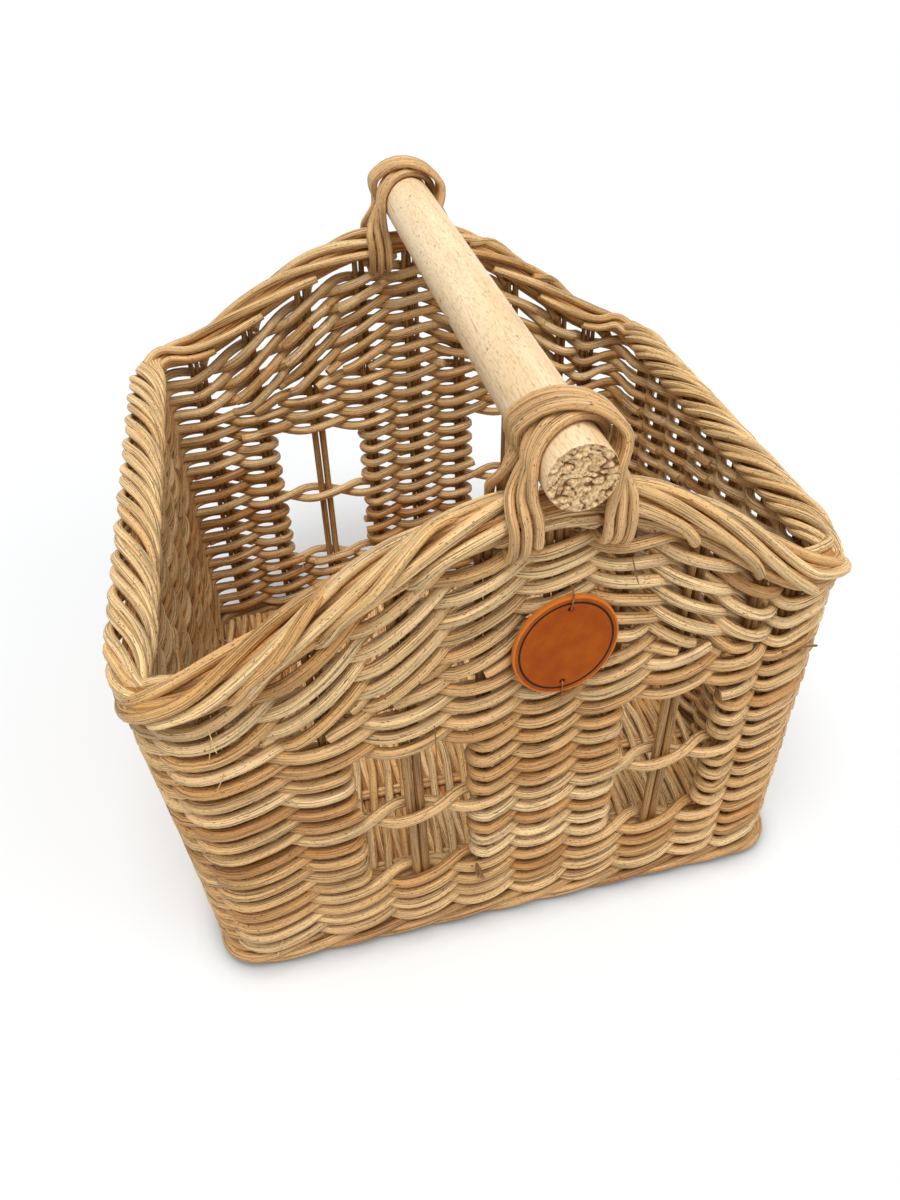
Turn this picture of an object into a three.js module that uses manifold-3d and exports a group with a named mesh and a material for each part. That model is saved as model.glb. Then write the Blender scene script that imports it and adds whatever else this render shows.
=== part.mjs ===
// A hand-woven rattan basket shaped like a small house: two gable walls with cross-barred
// windows, two plain side walls, and a peeled pole lashed over the two peaks as the handle.
// Millimetres, +Z up. The front wall, with the leather tag, faces -Y.
import * as THREE from 'three';
import { mergeVertices } from 'three/addons/utils/BufferGeometryUtils.js';
import Module from 'manifold-3d';

// Driving dimensions: the plan of the walls, measured at the middle of the weave
const FOOT_WIDTH = 374;
const FOOT_DEPTH = 340;
const FOOT_SHIFT = 4;
const RIM_WIDTH = 382;
const RIM_DEPTH = 360;
const CORNER_RADIUS = 24;
const WALL_THICKNESS = 19;
// Share of a corner's bend in its walls' ring places, on each side of the corner
const CORNER_SHARE = 0.055;
// How far the two front corners of the hand-made rim stray from a true rectangle
const FRONT_LEFT_DRIFT_X = -10;
const FRONT_LEFT_DRIFT_Y = -6;
const FRONT_RIGHT_DRIFT_Y = 16;

// Heights
const SIDE_RIM_Z = 256;
const GABLE_RISE = 76.5;
const GABLE_SHAPE = 1.5;
const SILL_Z = 66;
const WINDOW_HEIGHT = 117;

// Borders
const RIM_HEIGHT = 22;
const GABLE_RIM_WIDTH = 27;
const SIDE_RIM_WIDTH = 24;
const FOOT_BORDER_HEIGHT = 14;
const FOOT_BORDER_WIDTH = 21;
const FOOT_BORDER_BEVEL = 3;

// Windows: from the middle stake to their inner edge, and from the rim's corner to their outer
const WINDOW_INNER_EDGE = 48.6;
const CORNER_PIER_WIDTH = 74;

// Stakes: each is a close group of canes, so it is wider than it is thick
const STAKE_WIDTH = 12;
const STAKE_THICKNESS = 6.5;
const EDGE_STAKE_SETBACK = 10;
const CORNER_STAKE_INSET = 8;
const SIDE_STAKES = 7;

// Relief of the weave: it swells over the stakes and draws in between them, on both faces
const WEAVE_DIP = 4.5;
const CREST_SHARE = 0.2;
const LEAST_RELIEF_STEP = 0.006;

// Window bars, a twined pair of canes
const BAR_CANE_DIAMETER = 6;
const BAR_STEPS = 12;

// Base
const BASE_Z = 3;
const BASE_THICKNESS = 12;
const BASE_STICK_DIAMETER = 7;
const BASE_STICKS = 5;

// Handle pole and its lashings
const POLE_DIAMETER = 35;
const POLE_OFFSET = 7;
const POLE_FRONT_OVERHANG = 25;
const POLE_BACK_OVERHANG = 22;
const POLE_CHAMFER = 2;
const LASHING_DIAMETER = 5;
const LASHING_PAIRS = 3;
const LASHING_PITCH = 6.1;
const LASHING_FIRST_LEG = 17.5;
const LASHING_STEPS = 24;
const LASHING_SIDES = 6;

// Leather tag and its two wire ties
const TAG_WIDTH = 59;
const TAG_HEIGHT = 67;
const TAG_THICKNESS = 3;
const TAG_SHIFT = 3;
const TAG_Z = 250;
const TAG_HOLE_DIAMETER = 3.2;
const TAG_HOLE_SPACING = 51;
const TIE_DIAMETER = 1;
const TIE_REACH = 5;

// Gaps between touching pieces
const SEAT_GAP = 0.3;
const LASHING_GAP = 0.8;
const TAG_GAP = 0.5;

const WINDOW_OUTER_EDGE = RIM_WIDTH / 2 - CORNER_PIER_WIDTH;
const HEAD_Z = SILL_Z + WINDOW_HEIGHT;
const PEAK_Z = SIDE_RIM_Z + GABLE_RISE;
const POLE_Z = PEAK_Z + RIM_HEIGHT / 2 + POLE_DIAMETER / 2 + SEAT_GAP;

// Steps of the swept and lofted pieces
const CORNER_STEPS = 4;
const SIDE_STEPS = 2;
const GABLE_STEPS = 20;
const RIM_SIDES = 12;

const wasm = await Module();
wasm.setup();

const group = new THREE.Group();

// Finishes
const finishes = {
  weave: { color: 0xcda56e, roughness: 0.62, metalness: 0 },
  stake: { color: 0xa87a48, roughness: 0.7, metalness: 0 },
  border: { color: 0xd0a872, roughness: 0.6, metalness: 0 },
  foot: { color: 0xb98f5c, roughness: 0.66, metalness: 0 },
  base: { color: 0xb88a55, roughness: 0.68, metalness: 0 },
  pole: { color: 0xe6cfa6, roughness: 0.55, metalness: 0 },
  lashing: { color: 0xb9884f, roughness: 0.58, metalness: 0 },
  leather: { color: 0xaa5014, roughness: 0.5, metalness: 0 },
  wire: { color: 0x6b4a2e, roughness: 0.45, metalness: 0.3 },
};

function addPiece(name, geometry, finish) {
  const mesh = new THREE.Mesh(geometry, new THREE.MeshStandardMaterial(finishes[finish]));
  mesh.name = name;
  group.add(mesh);
  return mesh;
}

// Plan of the walls. Walls run counterclockwise seen from above: front, right, back, left.
const WALLS = ['front', 'right', 'back', 'left'];

function cornerAt(index, z) {
  const rimX = RIM_WIDTH / 2;
  const rimY = RIM_DEPTH / 2;
  const footX = FOOT_WIDTH / 2;
  const footY = FOOT_DEPTH / 2;
  const rim = [
    [-rimX + FRONT_LEFT_DRIFT_X, -rimY + FRONT_LEFT_DRIFT_Y],
    [rimX, -rimY + FRONT_RIGHT_DRIFT_Y],
    [rimX, rimY],
    [-rimX, rimY],
  ][index % 4];
  const foot = [
    [-footX + FOOT_SHIFT, -footY],
    [footX + FOOT_SHIFT, -footY],
    [footX + FOOT_SHIFT, footY],
    [-footX + FOOT_SHIFT, footY],
  ][index % 4];
  const f = z / SIDE_RIM_Z;
  return new THREE.Vector2(foot[0] + (rim[0] - foot[0]) * f, foot[1] + (rim[1] - foot[1]) * f);
}

// The straight part of a wall between its two rounded corners
function wallSpan(wall, z) {
  const a = cornerAt(wall, z);
  const b = cornerAt(wall + 1, z);
  const along = b.clone().sub(a).normalize();
  const start = a.addScaledVector(along, CORNER_RADIUS);
  const end = b.addScaledVector(along, -CORNER_RADIUS);
  const outward = new THREE.Vector2(along.y, -along.x);
  return { start, end, along, outward, length: start.distanceTo(end) };
}

// A station is a place on the walls: on a wall at share s of its straight part, or in the
// corner that follows that wall, at share q of its bend
function onWall(wall, s) {
  return { wall, s };
}

function inCorner(wall, q) {
  return { wall, q };
}

// Ring places run from 0 to 4, one unit for each wall, and a whole one is a corner's middle
function ringPlace(station) {
  if (station.q === undefined) {
    return station.wall + CORNER_SHARE + station.s * (1 - 2 * CORNER_SHARE);
  }
  return station.wall + 1 + (station.q - 0.5) * 2 * CORNER_SHARE;
}

function stationAt(place) {
  const turned = place % 4;
  const wall = Math.floor(turned);
  const share = turned - wall;
  if (share < CORNER_SHARE) {
    return inCorner((wall + 3) % 4, 0.5 + share / (2 * CORNER_SHARE));
  }
  if (share > 1 - CORNER_SHARE) {
    return inCorner(wall, (share - 1 + CORNER_SHARE) / (2 * CORNER_SHARE));
  }
  return onWall(wall, (share - CORNER_SHARE) / (1 - 2 * CORNER_SHARE));
}

function planAt(station, z) {
  const span = wallSpan(station.wall, z);
  if (station.q === undefined) {
    return { point: span.start.lerp(span.end, station.s), outward: span.outward, along: span.along };
  }
  const next = wallSpan((station.wall + 1) % 4, z);
  const corner = cornerAt(station.wall + 1, z);
  const q = station.q;
  const first = span.end.clone().lerp(corner, q);
  const second = corner.clone().lerp(next.start, q);
  const point = first.clone().lerp(second, q);
  const along = span.along.clone().lerp(next.along, q).normalize();
  return { point, outward: new THREE.Vector2(along.y, -along.x), along };
}

// Point on a wall at height z, at a distance outwards from the middle of the weave
function wallPoint(station, z, out = 0, sideways = 0) {
  const plan = planAt(station, z);
  const p = plan.point.addScaledVector(plan.outward, out).addScaledVector(plan.along, sideways);
  return new THREE.Vector3(p.x, p.y, z);
}

// The station of a gable wall that lies, at the height of the peak, at a distance from the
// pole, to the right seen from outside
function stationFromPole(wall, distance) {
  const span = wallSpan(wall, PEAK_Z);
  const x = POLE_OFFSET + (wall === 0 ? distance : -distance);
  return onWall(wall, (x - span.start.x) / (span.end.x - span.start.x));
}

// Height of the middle of the rim at the joints of its steps along a gable
function gableHeight(wall, step) {
  const peak = stationFromPole(wall, 0).s;
  const s = THREE.MathUtils.clamp(step / GABLE_STEPS, 0, 1);
  const t = s < peak ? (peak - s) / peak : (s - peak) / (1 - peak);
  return SIDE_RIM_Z + GABLE_RISE * (1 - t * t) ** GABLE_SHAPE;
}

// Half height of the rim, measured upright on its slope
function gableHalfHeight(wall, step) {
  const rise = gableHeight(wall, step + 1) - gableHeight(wall, step - 1);
  const slope = (rise * GABLE_STEPS) / (2 * wallSpan(wall, SIDE_RIM_Z).length);
  return (RIM_HEIGHT / 2) * Math.sqrt(1 + slope * slope);
}

// Value of a height along a gable between the joints of its steps
function betweenSteps(station, heightAt, level) {
  const isGable = station.q === undefined && station.wall % 2 === 0;
  if (!isGable) {
    return level;
  }
  const place = THREE.MathUtils.clamp(station.s, 0, 1) * GABLE_STEPS;
  const step = Math.min(Math.floor(place), GABLE_STEPS - 1);
  const low = heightAt(station.wall, step);
  const high = heightAt(station.wall, step + 1);
  return low + (high - low) * (place - step);
}

// Middle of the rim: level at the sides, a smooth gable at the front and back
function rimHeight(station) {
  return betweenSteps(station, gableHeight, SIDE_RIM_Z);
}

function rimHalfHeight(station) {
  return betweenSteps(station, gableHalfHeight, RIM_HEIGHT / 2);
}

function rimUnderside(station) {
  return rimHeight(station) - rimHalfHeight(station);
}

// Stations along walls and corners, from one to another
function stationsOnWall(wall, from, to, count) {
  return Array.from({ length: count + 1 }, (_, i) => onWall(wall, from + ((to - from) * i) / count));
}

function stationsInCorner(wall, count) {
  return Array.from({ length: count - 1 }, (_, i) => inCorner(wall, (i + 1) / count));
}

// Closed solid through a row of outlines, each counterclockwise seen looking along the row
function loft(outlines, closed = false) {
  const sides = outlines[0].length;
  const positions = outlines.flat().flatMap((p) => [p.x, p.y, p.z]);
  const faces = [];
  const rows = closed ? outlines.length : outlines.length - 1;
  for (let i = 0; i < rows; i += 1) {
    const next = (i + 1) % outlines.length;
    for (let k = 0; k < sides; k += 1) {
      const a = i * sides + k;
      const b = next * sides + k;
      const c = next * sides + ((k + 1) % sides);
      const d = i * sides + ((k + 1) % sides);
      faces.push(a, b, c, a, c, d);
    }
  }
  if (!closed) {
    const last = (outlines.length - 1) * sides;
    for (let k = 1; k < sides - 1; k += 1) {
      faces.push(0, k, k + 1);
      faces.push(last, last + k + 1, last + k);
    }
  }
  const geometry = new THREE.BufferGeometry();
  geometry.setAttribute('position', new THREE.Float32BufferAttribute(positions, 3));
  geometry.setIndex(faces);
  return geometry;
}

// Booleans
function toSolid(geometry) {
  const bare = geometry.clone();
  bare.deleteAttribute('normal');
  bare.deleteAttribute('uv');
  const merged = mergeVertices(bare, 1e-4);
  return new wasm.Manifold(
    new wasm.Mesh({
      numProp: 3,
      vertProperties: new Float32Array(merged.attributes.position.array),
      triVerts: new Uint32Array(merged.index.array),
    }),
  );
}

function toGeometry(solid) {
  const mesh = solid.getMesh();
  const geometry = new THREE.BufferGeometry();
  geometry.setAttribute('position', new THREE.BufferAttribute(new Float32Array(mesh.vertProperties), 3));
  geometry.setIndex(new THREE.BufferAttribute(new Uint32Array(mesh.triVerts), 1));
  return geometry;
}

function cutAll(geometry, tools) {
  return toGeometry(tools.reduce((solid, tool) => solid.subtract(toSolid(tool)), toSolid(geometry)));
}

// Stakes: where each stands, in the order seen from outside, left to right
function gableStakeStations(wall) {
  const inner = WINDOW_INNER_EDGE - EDGE_STAKE_SETBACK;
  const mullion = (WINDOW_INNER_EDGE + WINDOW_OUTER_EDGE) / 2;
  const outer = WINDOW_OUTER_EDGE + EDGE_STAKE_SETBACK;
  const inset = CORNER_STAKE_INSET / wallSpan(wall, SIDE_RIM_Z).length;
  const middle = [-outer, -mullion, -inner, 0, inner, mullion, outer].map((d) => stationFromPole(wall, d));
  return [onWall(wall, inset), ...middle, onWall(wall, 1 - inset)];
}

function sideStakeStations(wall) {
  return Array.from({ length: SIDE_STAKES }, (_, i) => onWall(wall, (i + 0.5) / SIDE_STAKES));
}

function stakeStations(wall) {
  return wall % 2 === 0 ? gableStakeStations(wall) : sideStakeStations(wall);
}

const stakePlaces = WALLS.flatMap((_, wall) => stakeStations(wall).map(ringPlace));

// Half thickness of the weave: full over the stakes, least midway between them
function weaveHalf(station) {
  const place = ringPlace(station) % 4;
  const count = stakePlaces.length;
  const found = stakePlaces.findIndex((stake) => stake > place);
  const next = found < 0 ? count : found;
  const after = next < count ? stakePlaces[next] : stakePlaces[0] + 4;
  const before = next > 0 ? stakePlaces[next - 1] : stakePlaces[count - 1] - 4;
  const share = (place - before) / (after - before);
  const away = Math.min(share, 1 - share);
  const dip = THREE.MathUtils.clamp((away - CREST_SHARE) / (0.5 - CREST_SHARE), 0, 1);
  return WALL_THICKNESS / 2 - WEAVE_DIP * dip;
}

// Ring places where the weave starts to draw in, is thinnest and is full again, for two laps
const reliefPlaces = [0, 4].flatMap((lap) =>
  stakePlaces.flatMap((place, i) => {
    const next = i + 1 < stakePlaces.length ? stakePlaces[i + 1] : stakePlaces[0] + 4;
    return [CREST_SHARE, 0.5, 1 - CREST_SHARE].map((share) => lap + place + (next - place) * share);
  }),
);

// Adds the stations of that relief to a row of stations
function withRelief(stations, closed) {
  const first = ringPlace(stations[0]);
  const places = stations.map(ringPlace).map((place) => (place < first ? place + 4 : place));
  const end = closed ? first + 4 : places[places.length - 1];
  const isClear = (place) => [...places, end].every((other) => Math.abs(other - place) > LEAST_RELIEF_STEP);
  const added = reliefPlaces.filter((place) => place > first && place < end && isClear(place));
  return [...places, ...added].sort((a, b) => a - b).map(stationAt);
}

// Panel of weave over a row of stations, between two heights that may vary
function weavePanel(stations, low, high, closed = false) {
  const outlines = withRelief(stations, closed).map((station) => {
    const half = weaveHalf(station);
    const bottom = low(station);
    const top = high(station);
    return [
      wallPoint(station, bottom, half),
      wallPoint(station, top, half),
      wallPoint(station, top, -half),
      wallPoint(station, bottom, -half),
    ];
  });
  return loft(outlines, closed);
}

// Upright six-sided prism along a station's line; its top follows the underside of the rim
function stakePrism(station, clearance, bottom, topRise) {
  const w = STAKE_WIDTH / 2 + clearance;
  const t = STAKE_THICKNESS / 2 + clearance;
  const flank = w - STAKE_THICKNESS / 3;
  const outline = [
    [-w, 0],
    [-flank, -t],
    [flank, -t],
    [w, 0],
    [flank, t],
    [-flank, t],
  ];
  const length = wallSpan(station.wall, SIDE_RIM_Z).length;
  const underside = (along) => rimUnderside(onWall(station.wall, station.s + along / length));
  const chord = (share) => THREE.MathUtils.lerp(underside(-w), underside(w), share);
  const dips = [0.2, 0.35, 0.5, 0.65, 0.8].map((share) => chord(share) - underside((2 * share - 1) * w));
  const rise = topRise - SEAT_GAP - Math.max(0, ...dips);
  const levels = [
    outline.map(([along, out]) => wallPoint(station, bottom, out, along)),
    outline.map(([along, out]) => wallPoint(station, chord((along / w + 1) / 2) + rise, out, along)),
  ];
  return loft(levels);
}

const STAKE_BOTTOM = FOOT_BORDER_HEIGHT + SEAT_GAP;
const CUT_OVERRUN = 5;

const channelBottom = STAKE_BOTTOM - CUT_OVERRUN;
const channels = WALLS.map((_, wall) =>
  stakeStations(wall).map((station) => stakePrism(station, SEAT_GAP, channelBottom, CUT_OVERRUN)),
);

WALLS.forEach((name, wall) => {
  stakeStations(wall).forEach((station, i) => {
    addPiece(`${name}_stake_${i + 1}`, stakePrism(station, 0, STAKE_BOTTOM, 0), 'stake');
  });
});

// Weave: a band below the windows, four sections beside and between them, a band above
function ringStations(gableSteps) {
  return WALLS.flatMap((_, wall) => [
    ...stationsOnWall(wall, 0, 1, wall % 2 === 0 ? gableSteps : SIDE_STEPS),
    ...stationsInCorner(wall, CORNER_STEPS),
  ]);
}

const windowEdge = {
  frontLeft: stationFromPole(0, -WINDOW_OUTER_EDGE).s,
  frontRight: stationFromPole(0, WINDOW_OUTER_EDGE).s,
  backLeft: stationFromPole(2, -WINDOW_OUTER_EDGE).s,
  backRight: stationFromPole(2, WINDOW_OUTER_EDGE).s,
};

const lowerBand = weavePanel(ringStations(2), () => STAKE_BOTTOM, () => SILL_Z, true);
addPiece('lower_weave', cutAll(lowerBand, channels.flat()), 'weave');

const sectionLow = () => SILL_Z + SEAT_GAP;
const sectionHigh = () => HEAD_Z - SEAT_GAP;

const rightRoute = [
  ...stationsOnWall(0, windowEdge.frontRight, 1, 1),
  ...stationsInCorner(0, CORNER_STEPS),
  ...stationsOnWall(1, 0, 1, SIDE_STEPS),
  ...stationsInCorner(1, CORNER_STEPS),
  ...stationsOnWall(2, 0, windowEdge.backLeft, 1),
];
const leftRoute = [
  ...stationsOnWall(2, windowEdge.backRight, 1, 1),
  ...stationsInCorner(2, CORNER_STEPS),
  ...stationsOnWall(3, 0, 1, SIDE_STEPS),
  ...stationsInCorner(3, CORNER_STEPS),
  ...stationsOnWall(0, 0, windowEdge.frontLeft, 1),
];
addPiece('right_weave', cutAll(weavePanel(rightRoute, sectionLow, sectionHigh), channels.flat()), 'weave');
addPiece('left_weave', cutAll(weavePanel(leftRoute, sectionLow, sectionHigh), channels.flat()), 'weave');

[0, 2].forEach((wall) => {
  const left = stationFromPole(wall, -WINDOW_INNER_EDGE).s;
  const right = stationFromPole(wall, WINDOW_INNER_EDGE).s;
  const pier = weavePanel(stationsOnWall(wall, left, right, 1), sectionLow, sectionHigh);
  addPiece(`${WALLS[wall]}_pier_weave`, cutAll(pier, channels[wall]), 'weave');
});

// Notches in the top of the weave, on both sides of the middle stake, for the lashing to pass
const LASHING_RADIUS = LASHING_DIAMETER / 2;
const LAST_LEG = LASHING_FIRST_LEG + LASHING_PITCH * (LASHING_PAIRS - 1);

function lashingNotch(wall, side) {
  const margin = LASHING_RADIUS + LASHING_GAP;
  const near = LASHING_FIRST_LEG - margin;
  const far = LAST_LEG + margin;
  const [from, to] = side < 0 ? [-far, -near] : [near, far];
  const stations = [stationFromPole(wall, from), stationFromPole(wall, to)];
  const depth = LASHING_DIAMETER + 3 * LASHING_GAP;
  const outlines = stations.map((station) => {
    const top = rimUnderside(station);
    return [
      wallPoint(station, top - depth, WALL_THICKNESS),
      wallPoint(station, top + CUT_OVERRUN, WALL_THICKNESS),
      wallPoint(station, top + CUT_OVERRUN, -WALL_THICKNESS),
      wallPoint(station, top - depth, -WALL_THICKNESS),
    ];
  });
  return loft(outlines);
}

const upperBand = weavePanel(
  ringStations(GABLE_STEPS),
  () => HEAD_Z,
  (station) => rimUnderside(station) - SEAT_GAP,
  true,
);
const notches = [0, 2].flatMap((wall) => [lashingNotch(wall, -1), lashingNotch(wall, 1)]);
addPiece('upper_weave', cutAll(upperBand, [...channels.flat(), ...notches]), 'weave');

// Rims: a rounded section carried along the top of each wall
function rimSweep(stations, width) {
  const toFlats = 1 / Math.cos(Math.PI / RIM_SIDES);
  const outlines = stations.map((station) =>
    Array.from({ length: RIM_SIDES }, (_, k) => {
      const angle = ((k + 0.5) / RIM_SIDES) * 2 * Math.PI;
      const out = (width / 2) * Math.cos(angle) * toFlats;
      const point = wallPoint(station, rimHeight(station), out);
      point.z += rimHalfHeight(station) * Math.sin(angle) * toFlats;
      return point;
    }),
  );
  return loft(outlines);
}

[0, 2].forEach((wall) => {
  const joint = SEAT_GAP / wallSpan(wall, SIDE_RIM_Z).length;
  const stations = stationsOnWall(wall, 0, 1, GABLE_STEPS);
  stations[0].s = joint;
  stations[GABLE_STEPS].s = 1 - joint;
  addPiece(`${WALLS[wall]}_rim`, rimSweep(stations, GABLE_RIM_WIDTH), 'border');
});
[1, 3].forEach((wall) => {
  const stations = [
    inCorner(wall - 1, 0),
    ...stationsInCorner(wall - 1, CORNER_STEPS),
    ...stationsOnWall(wall, 0, 1, SIDE_STEPS),
    ...stationsInCorner(wall, CORNER_STEPS),
    inCorner(wall, 1),
  ];
  addPiece(`${WALLS[wall]}_rim`, rimSweep(stations, SIDE_RIM_WIDTH), 'border');
});

// Foot border, flat underneath, round the edge of the base
const footOutlines = ringStations(2).map((station) => {
  const w = FOOT_BORDER_WIDTH / 2;
  const h = FOOT_BORDER_HEIGHT;
  const bevel = FOOT_BORDER_BEVEL;
  return [
    wallPoint(station, 0, w - bevel),
    wallPoint(station, bevel, w),
    wallPoint(station, h - bevel, w),
    wallPoint(station, h, w - bevel),
    wallPoint(station, h, bevel - w),
    wallPoint(station, h - bevel, -w),
    wallPoint(station, bevel, -w),
    wallPoint(station, 0, bevel - w),
  ];
});
addPiece('foot_border', loft(footOutlines, true), 'foot');

// Base: a woven mat inside the foot border, with cross sticks through it from side to side
const matInset = -(FOOT_BORDER_WIDTH / 2 + SEAT_GAP);
const matLevel = BASE_Z + BASE_THICKNESS / 2;
const matOutline = ringStations(2).map((station) => {
  const p = wallPoint(station, 0, matInset);
  return new THREE.Vector2(p.x, p.y);
});
const mat = new THREE.ExtrudeGeometry(new THREE.Shape(matOutline), {
  depth: BASE_THICKNESS,
  bevelEnabled: false,
});
mat.translate(0, 0, BASE_Z);

const matWidth = FOOT_WIDTH - FOOT_BORDER_WIDTH - 2 * SEAT_GAP;
const matDepth = FOOT_DEPTH - FOOT_BORDER_WIDTH;

function baseStick(index, clearance, length) {
  const radius = BASE_STICK_DIAMETER / 2 + clearance;
  const stick = new THREE.CylinderGeometry(radius, radius, length, 8);
  stick.rotateZ(Math.PI / 2);
  const y = matDepth * ((index + 0.5) / BASE_STICKS - 0.5);
  stick.translate(FOOT_SHIFT, y, matLevel);
  return stick;
}

const tunnelLength = matWidth + 2 * CUT_OVERRUN;
const tunnels = Array.from({ length: BASE_STICKS }, (_, i) => baseStick(i, SEAT_GAP, tunnelLength));
addPiece('base_mat', cutAll(mat, tunnels), 'base');
for (let i = 0; i < BASE_STICKS; i += 1) {
  addPiece(`base_stick_${i + 1}`, baseStick(i, 0, matWidth), 'base');
}

// Window bars: two canes that cross each other on both sides of the upright in the window
function barCane(wall, from, to, side) {
  const radius = BAR_CANE_DIAMETER / 2;
  const opening = WINDOW_OUTER_EDGE - WINDOW_INNER_EDGE;
  const flank = Math.cos((Math.PI * STAKE_WIDTH) / opening);
  const bow = (STAKE_THICKNESS / 2 + radius + SEAT_GAP) / flank;
  const level = (SILL_Z + HEAD_Z) / 2;
  const straight = 1 / BAR_STEPS;
  const points = Array.from({ length: BAR_STEPS + 1 }, (_, i) => {
    const share = i / BAR_STEPS;
    const station = stationFromPole(wall, from + (to - from) * share);
    const turn = THREE.MathUtils.clamp((share - straight) / (1 - 2 * straight), 0, 1);
    return wallPoint(station, level, -side * bow * Math.cos(2 * Math.PI * turn));
  });
  const section = new THREE.Shape();
  section.absarc(0, 0, radius, 0, 2 * Math.PI, false);
  return new THREE.ExtrudeGeometry(section, {
    curveSegments: 4,
    steps: BAR_STEPS,
    bevelEnabled: false,
    extrudePath: new THREE.CatmullRomCurve3(points),
  });
}

[0, 2].forEach((wall) => {
  [-1, 1].forEach((side) => {
    const inner = side * (WINDOW_INNER_EDGE + SEAT_GAP);
    const outer = side * (WINDOW_OUTER_EDGE - SEAT_GAP);
    const pair = toSolid(barCane(wall, inner, outer, 1)).add(toSolid(barCane(wall, inner, outer, -1)));
    addPiece(`${WALLS[wall]}_${side < 0 ? 'left' : 'right'}_window_bar`, toGeometry(pair), 'weave');
  });
});

// Handle pole, turned from its profile and laid along Y on the two peaks
const frontPeak = wallPoint(stationFromPole(0, 0), PEAK_Z);
const backPeak = wallPoint(stationFromPole(2, 0), PEAK_Z);
const poleFront = frontPeak.y - POLE_FRONT_OVERHANG;
const poleBack = backPeak.y + POLE_BACK_OVERHANG;
const poleRadius = POLE_DIAMETER / 2;
const poleProfile = [
  new THREE.Vector2(0, poleFront),
  new THREE.Vector2(poleRadius - POLE_CHAMFER, poleFront),
  new THREE.Vector2(poleRadius, poleFront + POLE_CHAMFER),
  new THREE.Vector2(poleRadius, poleBack - POLE_CHAMFER),
  new THREE.Vector2(poleRadius - POLE_CHAMFER, poleBack),
  new THREE.Vector2(0, poleBack),
];
const pole = new THREE.LatheGeometry(poleProfile, 24);
pole.translate(POLE_OFFSET, 0, POLE_Z);
addPiece('handle_pole', pole, 'pole');

// Lashings. Each is one cane that goes up beside the pole outside the rim, over the pole to
// the other side inside the rim, out under the rim, and back over the pole the other way.
const legDistance = GABLE_RIM_WIDTH / 2 + LASHING_GAP + LASHING_RADIUS;
const hugRadius = poleRadius + LASHING_GAP + LASHING_RADIUS;

// A point square to the pole: v outwards from the rim, u to the right seen from outside
function besidePole(wall, z, v, u) {
  const peak = wallPoint(stationFromPole(wall, 0), PEAK_Z);
  const sign = wall === 0 ? 1 : -1;
  return new THREE.Vector3(peak.x + sign * u, peak.y - sign * v, z);
}

// Places on a leg, from the run under the rim up to the side of the pole: each level is a
// height and how far the cane has turned there, from square to the wall to square to the pole.
const LEG_LEVELS = [
  [PEAK_Z - RIM_HEIGHT * 0.45, 0],
  [PEAK_Z + RIM_HEIGHT * 0.05, 0],
  [PEAK_Z + RIM_HEIGHT * 0.38, 15],
  [POLE_Z - poleRadius * 0.78, 48],
  [POLE_Z - poleRadius * 0.38, 72],
  [POLE_Z - poleRadius * 0.16, 83],
];

function lashingLeg(wall, side, face, index) {
  return LEG_LEVELS.map(([z, degrees]) => {
    const turn = THREE.MathUtils.degToRad(degrees);
    const base = LASHING_FIRST_LEG + (hugRadius - LASHING_FIRST_LEG) * Math.sin(turn);
    const u = side * (base + LASHING_PITCH * index * Math.cos(turn));
    const v = face * (legDistance - LASHING_PITCH * index * Math.sin(turn));
    const byRim = wallPoint(stationFromPole(wall, 0), z, v, u);
    return byRim.lerp(besidePole(wall, z, v, u), Math.sin(turn));
  });
}

// Arc over the pole, from one side to the other; the crossing passes ride over the first ones
function lashingArc(wall, from, to, lift) {
  const turns = 12;
  return Array.from({ length: turns + 1 }, (_, i) => {
    const degrees = (180 * i) / turns - 90;
    const angle = THREE.MathUtils.degToRad(degrees);
    const share = (degrees + 90) / 180;
    const rise = THREE.MathUtils.smoothstep(90 - Math.abs(degrees), 0, 30);
    const radius = hugRadius + lift * rise * (LASHING_DIAMETER + LASHING_GAP);
    const v = from + (to - from) * share;
    return besidePole(wall, POLE_Z + radius * Math.cos(angle), v, radius * Math.sin(angle));
  });
}

// Run under the rim from inside to outside, from one leg to the next; its faces are shares
// of the distance between the inner and the outer legs
function lashingRun(wall, side, index, nextIndex) {
  const places = [
    [index, -0.75],
    [(index + nextIndex) / 2, 0],
    [nextIndex, 0.75],
  ];
  return places.map(([i, face]) => {
    const u = side * (LASHING_FIRST_LEG + LASHING_PITCH * i);
    const z = rimUnderside(stationFromPole(wall, u)) - LASHING_GAP - LASHING_RADIUS;
    return wallPoint(stationFromPole(wall, u), z, face * legDistance);
  });
}

function lashingRoute(wall) {
  const points = [];
  const last = LASHING_PAIRS - 1;
  const reach = (index) => legDistance - LASHING_PITCH * index;
  for (let j = 0; j < LASHING_PAIRS; j += 1) {
    points.push(...lashingLeg(wall, -1, 1, j));
    points.push(...lashingArc(wall, reach(j), -reach(last - j), 0));
    points.push(...lashingLeg(wall, 1, -1, last - j).reverse());
    points.push(...lashingRun(wall, 1, last - j, last - j));
    points.push(...lashingLeg(wall, 1, 1, last - j));
    points.push(...lashingArc(wall, -reach(j), reach(last - j), 1).reverse());
    points.push(...lashingLeg(wall, -1, -1, j).reverse());
    if (j < last) {
      points.push(...lashingRun(wall, -1, j, j + 1));
    }
  }
  return points;
}

// Round tube along a curve, with frames carried from step to step
function tube(curve, steps, radius, sides) {
  const centres = curve.getSpacedPoints(steps);
  const frames = curve.computeFrenetFrames(steps, false);
  const outlines = centres.map((centre, i) =>
    Array.from({ length: sides }, (_, k) => {
      const angle = (k / sides) * 2 * Math.PI;
      return centre
        .clone()
        .addScaledVector(frames.normals[i], radius * Math.cos(angle))
        .addScaledVector(frames.binormals[i], -radius * Math.sin(angle));
    }),
  );
  return { geometry: loft(outlines), centres };
}

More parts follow.
